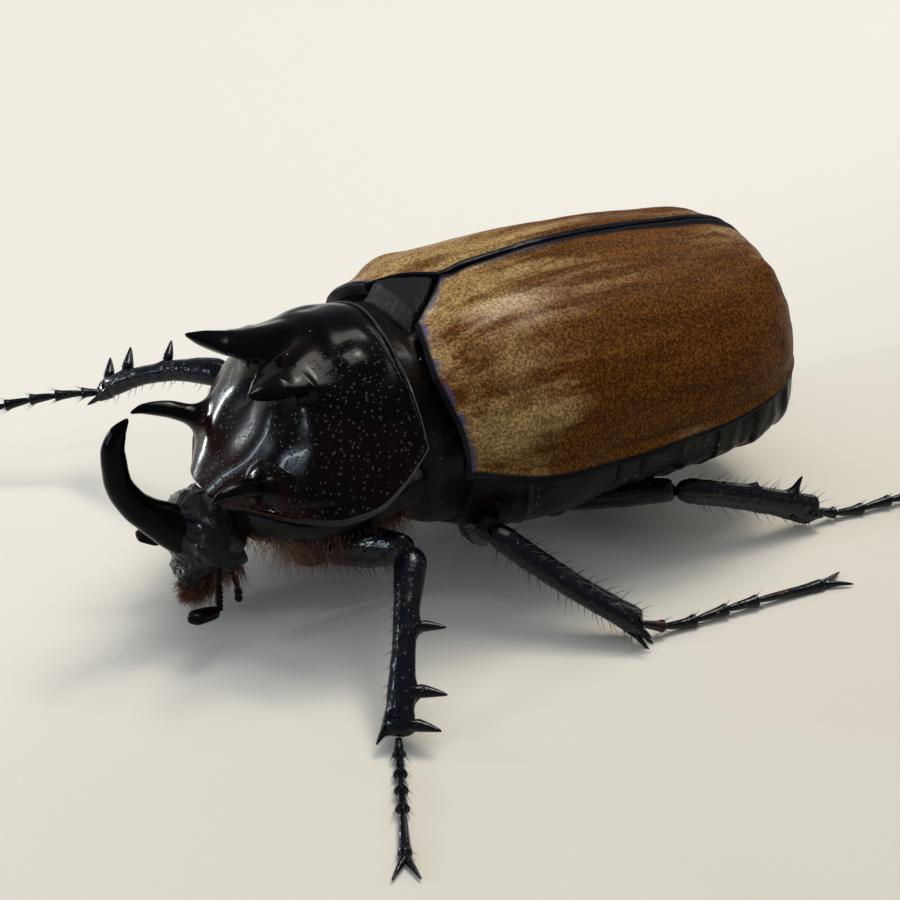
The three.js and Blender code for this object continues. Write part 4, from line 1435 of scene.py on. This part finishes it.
@dataclass(frozen=True)
class Leg:
    """One leg, by the places of its joints."""

    pair: LegPair
    side: Side
    hip: tuple[float, float, float]
    knee: tuple[float, float, float]
    ankle: tuple[float, float, float]
    toe: tuple[float, float, float]
    teeth_to: tuple[float, float, float]

    @property
    def name(self) -> str:
        """The ending of the leg's node names."""
        return f"{self.pair.value}_{self.side.word}"

    @property
    def style(self) -> LegStyle:
        """What it shares with the other leg of its pair."""
        return LEG_STYLES[self.pair]

    @staticmethod
    def limb_keys(start: Vector, end: Vector, sizes: Keys, bow: float) -> list[tuple[float, ...]]:
        """Keys for a taper from start to end, raised by bow at its middle."""
        lift = [bow * 4 * t * (1 - t) for t, *_ in sizes]
        return [
            (t, *(start.lerp(end, t) + UPRIGHT * up), *half) for (t, *half), up in zip(sizes, lift)
        ]

    def thorn(self, root: Vector, aim: Vector, bend: Vector, length: float, radius: float) -> Form:
        """A curved thorn from root along aim, bent towards bend at its tip."""
        keys = []
        for i in range(9):
            t = i / 8
            place = root + aim * length * t + bend * length * 0.1 * t * t
            thick = radius * (1 - t) ** 0.8 + 0.06
            keys.append((t, *place, thick, thick))
        return Taper(keys, bend.cross(aim).normalized(), 0.05, 0.02).form(18, 22)

    def tibia(self) -> Form:
        """The shin with its teeth and spurs."""
        knee, ankle = Vector(self.knee), Vector(self.ankle)
        axis = (ankle - knee).normalized()
        tooth_side = Vector(self.teeth_to)
        tooth_side = (tooth_side - axis * tooth_side.dot(axis)).normalized()
        bow = self.style.bow
        taper = Taper(self.limb_keys(knee, ankle, self.style.tibia, bow), tooth_side, 0.05, 0.03, 2.3)
        shaft = taper.form(40, 90).emboss(self.limb_relief)
        ground = shaft.tree()
        thorns = []
        for tooth in self.style.teeth:
            outward = Matrix.Rotation(math.radians(tooth.swing), 3, axis) @ tooth_side
            lean = math.radians(tooth.lean)
            aim = outward * math.cos(lean) + axis * math.sin(lean)
            root = knee.lerp(ankle, tooth.share) + outward * 0.35
            root.z += bow * 4 * tooth.share * (1 - tooth.share)
            thorns.append(self.thorn(root, aim, axis, tooth.length - 0.35, tooth.radius))
        for thorn in thorns:
            own = thorn.tree()
            grow_together(thorn, own, ground, 0.7)
            grow_together(shaft, ground, own, 0.7)
        return shaft.join(*thorns).above_floor()

    @staticmethod
    def limb_relief(u: float, v: float, place: Vector) -> float:
        """Grooves along a limb and its uneven surface."""
        grooves = 0.05 * math.cos(math.tau * u * 4) * ease(0.05, 0.2, v) * (1 - ease(0.85, 0.97, v))
        return grooves + noise.noise(place * 0.8) * 0.06 - 0.04

    def foot_path(self, t: float) -> Vector:
        """The foot's axis from the ankle to the toe."""
        ankle, toe = Vector(self.ankle), Vector(self.toe)
        place = ankle.lerp(toe, t)
        if toe.z > FLOOR_Z:
            place.z = lerp(ankle.z, toe.z, t * t)
        else:
            settle = 1 - min(1.0, t / 0.28)
            place.z = lerp(toe.z + SOLE, ankle.z, settle * settle) + 0.4 * math.sin(math.pi * t) ** 2
        return place

    def tarsus(self) -> Form:
        """The foot: five joints, each wider at its end, and two claws."""
        foot = Form()
        ends = (*TARSUS_JOINTS[:-1], 0.972)
        for start, end in zip(ends, ends[1:]):
            keys = []
            for share, thick in ((-0.03, 0.24), (0.2, 0.32), (0.7, 0.44), (0.92, 0.55), (1.0, 0.46)):
                place = self.foot_path(clamp(lerp(start, end, share)))
                keys.append(((share + 0.03) / 1.03, *place, thick, thick))
            joint = Taper(keys, UPRIGHT, 0.08, 0.10).form(20, 26)
            foot.join(joint)
        heading = (self.foot_path(1.0) - self.foot_path(0.9)).normalized()
        for sign in (-1, 1):
            aim = Matrix.Rotation(math.radians(24 * sign), 3, -UPRIGHT) @ heading
            aim.z += -0.05 if self.toe[2] > FLOOR_Z else 0.1
            foot.join(self.thorn(self.foot_path(0.963), aim.normalized(), -UPRIGHT, 2.5, 0.28))
        return foot.above_floor()

    def build(self, finish: bpy.types.Material, foot_finish: bpy.types.Material) -> None:
        """Makes the leg's four pieces."""
        hip, knee = Vector(self.hip), Vector(self.knee)
        ball = Vector((2.2, 1.7, 1.7))
        coxa = Form.ball(lambda u, v: hip + ball * Head.direction(u, v), 40, 30)
        coxa.emboss(lambda u, v, place: noise.noise(place * 0.9) * 0.14 - 0.08)
        femur = Taper(self.limb_keys(hip, knee, self.style.femur, 0), UPRIGHT, 0.05, 0.05, 2.1).form(44, 70)
        add_piece(f"hip_{self.name}", coxa, finish, "black_shell", f"coxa_{self.name}")
        add_piece(
            f"thigh_{self.name}", femur.emboss(self.limb_relief), finish, "black_shell", f"femur_{self.name}"
        )
        add_piece(f"shin_{self.name}", self.tibia(), finish, "black_shell", f"tibia_{self.name}")
        foot_finish = foot_finish if self.pair is LegPair.MID else finish
        add_piece(f"foot_{self.name}", self.tarsus(), foot_finish, "black_shell", f"tarsus_{self.name}")


LEGS = (
    Leg(LegPair.FORE, Side.LEFT, (4.5, -11.2, -6.8), (13.1, -6.2, -3.9), (23.6, -13.3, -12.7),
        (35.0, -19.0, FLOOR_Z), (0.45, 0.85, 0.2)),
    Leg(LegPair.FORE, Side.RIGHT, (-4.5, -11.2, -6.8), (-15.2, -8.6, -0.8), (-27.2, -16.6, -6.0),
        (-33.6, -29.5, -9.0), (-0.7, 0.5, 0.55)),
    Leg(LegPair.MID, Side.LEFT, (5.0, 4.6, -9.4), (12.0, 1.4, -4.9), (21.0, 10.6, -12.1),
        (22.3, 29.4, FLOOR_Z), (0.85, -0.5, 0.2)),
    Leg(LegPair.MID, Side.RIGHT, (-5.0, 4.6, -9.4), (-12.2, 2.4, -4.9), (-20.6, 10.8, -12.2),
        (-25.5, 27.5, FLOOR_Z), (-0.85, -0.5, 0.2)),
    Leg(LegPair.HIND, Side.LEFT, (4.6, 12.2, -9.2), (12.3, 19.9, -6.8), (13.9, 34.3, -12.5),
        (16.2, 52.0, FLOOR_Z), (-0.08, 0.37, 0.92)),
    Leg(LegPair.HIND, Side.RIGHT, (-4.6, 12.2, -9.2), (-12.0, 19.6, -7.2), (-17.4, 32.4, -12.5),
        (-23.2, 48.6, FLOOR_Z), (0.08, 0.37, 0.92)),
)


@dataclass
class Hairs:
    """Solid hairs on one part of the body, gathered into one piece."""

    name: str
    finish: bpy.types.Material
    slot: str
    seed: int

    def __post_init__(self) -> None:
        """Starts a coat with its two maps and the hair that is copied."""
        self.form, self.random = Form(), random.Random(self.seed)
        bm = self.form.bm
        bm.loops.layers.uv.new(BAKE_MAP)
        bmesh.ops.create_cone(bm, cap_ends=True, segments=3, radius1=1.0, radius2=0.15, depth=1.0)
        upright = [edge for edge in bm.edges if abs(edge.verts[0].co.z - edge.verts[1].co.z) > 0.5]
        bmesh.ops.subdivide_edges(bm, edges=upright, cuts=2)
        bmesh.ops.translate(bm, vec=(0.0, 0.0, 0.5), verts=bm.verts)
        self.pattern = [*bm.verts, *bm.edges, *bm.faces]

    def strand(
        self, root: Vector, way: Vector, bend: Vector, length: float, thick: float, patch: tuple[float, float]
    ) -> None:
        """Adds one hair, three-sided and tapering.

        Args:
            root: where it grows.
            way: the direction it starts in.
            bend: the direction its tip leans to.
            length: its length.
            thick: half thickness at the root.
            patch: its root's place on the skin's unwrap.
        """
        bm = self.form.bm
        surface, bake = (bm.loops.layers.uv[name] for name in (SURFACE_MAP, BAKE_MAP))
        turn = way.to_track_quat("Z", "Y")
        for vert in bmesh.ops.duplicate(bm, geom=self.pattern)["geom"]:
            if not isinstance(vert, bmesh.types.BMVert):
                continue
            x, y, share = vert.co
            angle = math.atan2(y, x) / math.tau + 0.5
            for loop in vert.link_loops:
                loop[surface].uv = (angle, share)
                loop[bake].uv = [lerp(at, within, PATCH) for at, within in zip(patch, (angle, share))]
            vert.co = root + turn @ Vector((x * thick, y * thick, share * length)) + bend * (length * share * share)

    def grow(
        self, surface: Surface, u: tuple[float, float], v: tuple[float, float], count: int,
        length: tuple[float, float], thick: float, lie: Lie, stand: float = 0.6, clumps: int = 0,
        tile: tuple[float, float] = (0.0, 1.0),
    ) -> "Hairs":
        """Grows hairs over a patch of skin.

        Args:
            surface: the skin.
            u: the patch's range across.
            v: the patch's range along.
            count: how many hairs.
            length: their shortest and longest length.
            thick: half thickness at the root.
            lie: which way they lie.
            stand: how much they stand up from the skin.
            clumps: how many clumps they gather in, or 0 for an even coat.
            tile: the band of the unwrap that this skin takes up.

        Returns:
            This coat.
        """
        rnd = self.random
        centres = [(rnd.uniform(*u), rnd.uniform(*v)) for _ in range(clumps)]
        for _ in range(count):
            if centres:
                a, b = rnd.choice(centres)
                here = (clamp(rnd.gauss(a, 0.012), *u), clamp(rnd.gauss(b, 0.02), *v))
            else:
                here = (rnd.uniform(*u), rnd.uniform(*v))
            normal = normal_at(surface, *here)
            root = surface(*here) - normal * 0.08
            outward = Vector((math.copysign(1.0, root.x), 0.0, -0.35))
            lies = {
                Lie.HANGING: Vector((0.25 * math.copysign(1.0, root.x), 0.0, -1.0)),
                Lie.BACKWARD: Vector((0.0, 1.0, -0.25)),
                Lie.FORWARD: Vector((0.0, -1.0, -0.45)),
                Lie.OUTWARD: outward,
            }[lie]
            jitter = Vector(tuple(rnd.gauss(0, 0.22) for _ in range(3)))
            way = normal * stand + lies * (1 - 0.5 * stand) + jitter
            bend = (lies - normal * 0.3 + jitter) * 0.28
            patch = (here[0], lerp(*tile, here[1]))
            self.strand(root, way, bend, rnd.uniform(*length), thick * rnd.uniform(0.75, 1.2), patch)
        return self

    def along_limb(
        self, keys: Keys, sideways: Vector, sides: Sequence[float], span: tuple[float, float], count: int,
        length: tuple[float, float], thick: float, lean: float = 0.6, tile: tuple[float, float] = (0.0, 1.0),
    ) -> "Hairs":
        """Sets rows of bristles along a limb, leaning towards its end.

        Args:
            keys: the limb's keys.
            sideways: the limb's side direction.
            sides: the rows' places round the limb, from 0 to 1.
            span: where along the limb they stand.
            count: bristles in each row.
            length: their shortest and longest length.
            thick: half thickness at the root.
            lean: how far they lean towards the end.
            tile: the band of the unwrap that this limb takes up.

        Returns:
            This coat.
        """
        rnd = self.random
        limb = Taper(keys, sideways)
        for row in sides:
            for i in range(count):
                t = lerp(*span, (i + rnd.uniform(-0.3, 0.3)) / max(count - 1, 1))
                u = (row + rnd.gauss(0, 0.025)) % 1.0
                side, other, tangent = limb.basis(clamp(t))
                out = side * math.cos(math.tau * u) + other * math.sin(math.tau * u)
                wide = lerp(along(keys, t, 4), along(keys, t, 5), abs(math.sin(math.tau * u)))
                root = limb.axis(clamp(t)) + out * (wide - 0.06)
                way = out + tangent * lean * rnd.uniform(0.6, 1.3) + Vector(tuple(rnd.gauss(0, 0.10) for _ in "xyz"))
                self.strand(root, way, tangent * 0.15, rnd.uniform(*length), thick, (u, lerp(*tile, clamp(t))))
        return self

    def build(self) -> None:
        """Makes the piece."""
        bm = self.form.bm
        bmesh.ops.delete(bm, geom=[item for item in self.pattern if isinstance(item, bmesh.types.BMVert)])
        for vert in bm.verts:
            vert.co.z = max(vert.co.z, FLOOR_Z + 0.03)
        add_piece(self.name, self.form, self.finish, self.slot, crease=60.0)


@dataclass
class Coat:
    """All the hairs and bristles of the beetle."""

    rust: bpy.types.Material
    pale: bpy.types.Material
    dark: bpy.types.Material

    def build(self) -> None:
        """Makes the coat."""
        breast = Barrel(PROSTERNUM, 1.6, under_elytra=False).point
        middle = Barrel(MESOTHORAX, 2.2).point
        rear = Barrel(METATHORAX, 2.3).point
        tail = Barrel(PYGIDIUM, 2.2, 0.2, dome=1.3).point
        belly = Barrel(ABDOMEN, 2.3).point
        head = Head().point
        mouth = Taper(MOUTH, X_AXIS, 0.1, 0.15).point
        rust, pale, amber = self.rust, self.pale, "mouth_and_feelers"
        for side, flank, low in ((Side.LEFT, (0.82, 0.93), (0.76, 0.88)), (Side.RIGHT, (0.57, 0.68), (0.62, 0.74))):
            fringe = Hairs(f"breast_fringe_{side.word}", rust, amber, 11 + side.value)
            fringe.grow(breast, flank, (0.24, 0.88), 1400, (1.3, 2.6), 0.035, Lie.HANGING, 0.5, clumps=90)
            fringe.grow(breast, low, (0.25, 0.9), 600, (0.9, 1.8), 0.03, Lie.OUTWARD, 0.7).build()
            light = Hairs(f"breast_down_{side.word}", pale, amber, 21 + side.value)
            light.grow(breast, flank, (0.03, 0.26), 260, (1.4, 2.8), 0.022, Lie.HANGING, 0.55, 40, (0.0, 0.5))
            light.grow(middle, flank, (0.15, 0.85), 160, (0.6, 1.2), 0.02, Lie.BACKWARD, 0.5, tile=(0.5, 1.0)).build()
            down = Hairs(f"rear_breast_down_{side.word}", rust, amber, 31 + side.value)
            down.grow(rear, low, (0.08, 0.7), 420, (0.6, 1.4), 0.022, Lie.BACKWARD, 0.45).build()
        cheeks = Hairs("cheek_hair", rust, amber, 41)
        cheeks.grow(head, (0.55, 0.95), (0.25, 0.75), 600, (0.9, 1.9), 0.028, Lie.HANGING, 0.6, clumps=50).build()
        brush = Hairs("mouth_brush", rust, amber, 43)
        brush.grow(mouth, (0.0, 1.0), (0.25, 0.95), 900, (0.5, 1.1), 0.032, Lie.FORWARD, 0.7, clumps=70)
        brush.grow(mouth, (0.5, 1.0), (0.15, 0.9), 420, (0.7, 1.5), 0.026, Lie.HANGING, 0.6).build()
        end = Hairs("tail_hair", pale, amber, 47)
        end.grow(tail, (0.5, 1.0), (0.3, 0.9), 260, (0.5, 1.2), 0.02, Lie.BACKWARD, 0.5, tile=(0.0, 0.3))
        end.grow(belly, (0.52, 0.98), (0.2, 0.95), 520, (0.35, 0.8), 0.016, Lie.BACKWARD, 0.3, tile=(0.3, 1.0)).build()
        for leg in LEGS:
            self.bristles(leg)

    def bristles(self, leg: Leg) -> None:
        """Makes one leg's bristles."""
        knee, ankle, hip = Vector(leg.knee), Vector(leg.ankle), Vector(leg.hip)
        seed = 100 + sum(ord(letter) for letter in leg.name)
        rows = {
            LegPair.FORE: ((0.30, 0.42, 0.58), 14, (0.5, 1.0)),
            LegPair.MID: ((0.10, 0.22, 0.35, 0.5, 0.72, 0.88), 15, (0.7, 1.5)),
            LegPair.HIND: ((0.02, 0.12, 0.25, 0.4, 0.6, 0.85), 15, (0.7, 1.5)),
        }
        sides, count, length = rows[leg.pair]
        shin = leg.limb_keys(knee, ankle, leg.style.tibia, leg.style.bow)
        coat = Hairs(f"bristles_{leg.name}", self.dark, "black_shell", seed)
        coat.along_limb(shin, Vector(leg.teeth_to), sides, (0.12, 0.97), count, length, 0.045, tile=(0.0, 0.4))
        thigh = leg.limb_keys(hip, knee, leg.style.femur, 0)
        coat.along_limb(thigh, UPRIGHT, (0.2, 0.3, 0.7, 0.8), (0.3, 0.95), 12, (0.5, 1.1), 0.03, 0.5, (0.4, 0.7))
        for start, end in zip(TARSUS_JOINTS, TARSUS_JOINTS[1:]):
            keys = [(i / 4, *leg.foot_path(lerp(start, end, i / 4)), 0.5, 0.5) for i in range(5)]
            tile = (lerp(0.7, 1.0, start), lerp(0.7, 1.0, end))
            coat.along_limb(keys, UPRIGHT, (0.0, 0.25, 0.4, 0.6, 0.75), (0.82, 0.9), 2, (0.5, 0.9), 0.035, 1.6, tile)
        coat.build()
        if leg.pair is LegPair.FORE:
            tuft = Hairs(f"thigh_hair_{leg.name}", self.rust, "mouth_and_feelers", seed + 1)
            tuft.along_limb(
                thigh, UPRIGHT, (0.05, 0.12, 0.2, 0.3, 0.4, 0.5, 0.88, 0.95), (0.05, 0.8), 34, (0.8, 1.7), 0.026, 0.4
            ).build()


@dataclass
class Studio:
    """The floor, the lamps and the camera."""

    distance: float = 170.0
    aim: tuple[float, float, float] = (3.3, 2.9, -2.5)
    back: tuple[float, float, float] = (0.75, -0.433013, 0.5)
    lens: float = 81.2

    def build(self) -> None:
        """Sets them up."""
        floor = bpy.data.meshes.new("floor")
        bm = bmesh.new()
        bmesh.ops.create_grid(bm, x_segments=4, y_segments=4, size=1.5)
        bm.to_mesh(floor)
        bm.free()
        floor.materials.append(FloorFinish().build())
        ground = bpy.data.objects.new("floor", floor)
        bpy.context.scene.collection.objects.link(ground)

        bpy.context.scene.view_settings.view_transform = "Standard"
        world = bpy.data.worlds.new("studio")
        world.use_nodes = True
        world.node_tree.nodes["Background"].inputs[0].default_value = (0.80, 0.90, 1.0, 1.0)
        world.node_tree.nodes["Background"].inputs[1].default_value = 0.22
        bpy.context.scene.world = world

        self.lamp("soft", (0.25, -0.25, 1.1), 1.5, 1.5, 9.4, (0.86, 0.92, 1.0), glossy=False)
        self.lamp("sky", (-0.12, 0.28, 0.95), 0.56, 0.46, 6.8, (1.0, 0.95, 0.86))
        self.lamp("sun", (-0.16, 0.38, 0.91), 0.18, 0.12, 2.2, (1.0, 0.95, 0.85))
        self.lamp("window", (-0.90, -0.40, 0.11), 0.05, 0.16, 3.2, (0.88, 0.95, 1.0))
        self.lamp("strip_left", (-0.10, -0.92, 0.38), 0.03, 0.22, 2.2, (0.72, 0.88, 1.0))
        self.lamp("strip_right", (-0.60, -0.75, 0.28), 0.03, 0.12, 1.0, (0.72, 0.88, 1.0))
        self.lamp("fill", (-0.45, 1.0, 0.55), 0.6, 0.5, 2.4, (1.0, 0.95, 0.88))

        camera = bpy.data.cameras.new("camera")
        camera.lens = self.lens
        camera.sensor_width = 36.0
        camera.clip_start = 0.01
        eye = bpy.data.objects.new("camera", camera)
        target = PLACE.into_part(Vector(self.aim))
        eye.location = target + Vector(self.back) * self.distance * MM
        eye.rotation_euler = (target - eye.location).to_track_quat("-Z", "Y").to_euler()
        bpy.context.scene.collection.objects.link(eye)
        bpy.context.scene.camera = eye

    @staticmethod
    def lamp(
        name: str, place: tuple[float, float, float], width: float, height: float, power: float, colour: Colour,
        glossy: bool = True,
    ) -> None:
        """Adds a soft rectangular lamp aimed at the beetle, with or without a reflection in the gloss."""
        light = bpy.data.lights.new(name, "AREA")
        light.shape = "RECTANGLE"
        light.size, light.size_y = width, height
        light.energy = power
        light.color = colour
        lamp = bpy.data.objects.new(name, light)
        lamp.visible_glossy = glossy
        lamp.location = place
        lamp.rotation_euler = (-lamp.location).to_track_quat("-Z", "Y").to_euler()
        bpy.context.scene.collection.objects.link(lamp)


def main() -> None:
    """Builds the beetle piece by piece."""
    logging.basicConfig(level=logging.INFO, format="%(message)s")
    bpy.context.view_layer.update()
    glossy = BlackShellFinish("shield_shell", pits=2.3, pit_share=1.3, warm_share=0.25, smooth_top=True).build()
    crest = BlackShellFinish("crest_shell", pit_share=-2.0, warm_share=0.1).build()
    horn = BlackShellFinish("horn_shell", warm_share=0.0, pit_share=-2.0, gloss=0.16, shine=0.05, coat=0.12).build()
    rough = BlackShellFinish("face_shell", (0.0015, 0.002, 0.0035), gloss=0.06, wrinkle=1.3, coat=0.5, shine=0.12).build()
    matte = BlackShellFinish("scutellum_shell", (0.007, 0.007, 0.008), gloss=0.5, coat=0.0, dusty=0.12).build()
    belly = BellyFinish().build()
    leg_finish = LegFinish().build()
    foot_finish = LegFinish("foot_shell", brown_share=1.0).build()
    WingCases().build()
    Scutellum().build(matte)
    Pronotum().build(glossy, crest)
    Trunk().build(belly, belly)
    Head().build(rough, horn)
    for leg in LEGS:
        leg.build(leg_finish, foot_finish)
    rust = HairFinish("rust_hair", (0.016, 0.004, 0.002), (0.13, 0.034, 0.010)).build()
    pale = HairFinish("pale_hair", (0.060, 0.030, 0.014), (0.26, 0.16, 0.085)).build()
    dark = HairFinish("dark_bristle", (0.006, 0.004, 0.004), (0.030, 0.016, 0.010)).build()
    Coat(rust, pale, dark).build()
    Studio().build()


if __name__ == "__main__":
    main()
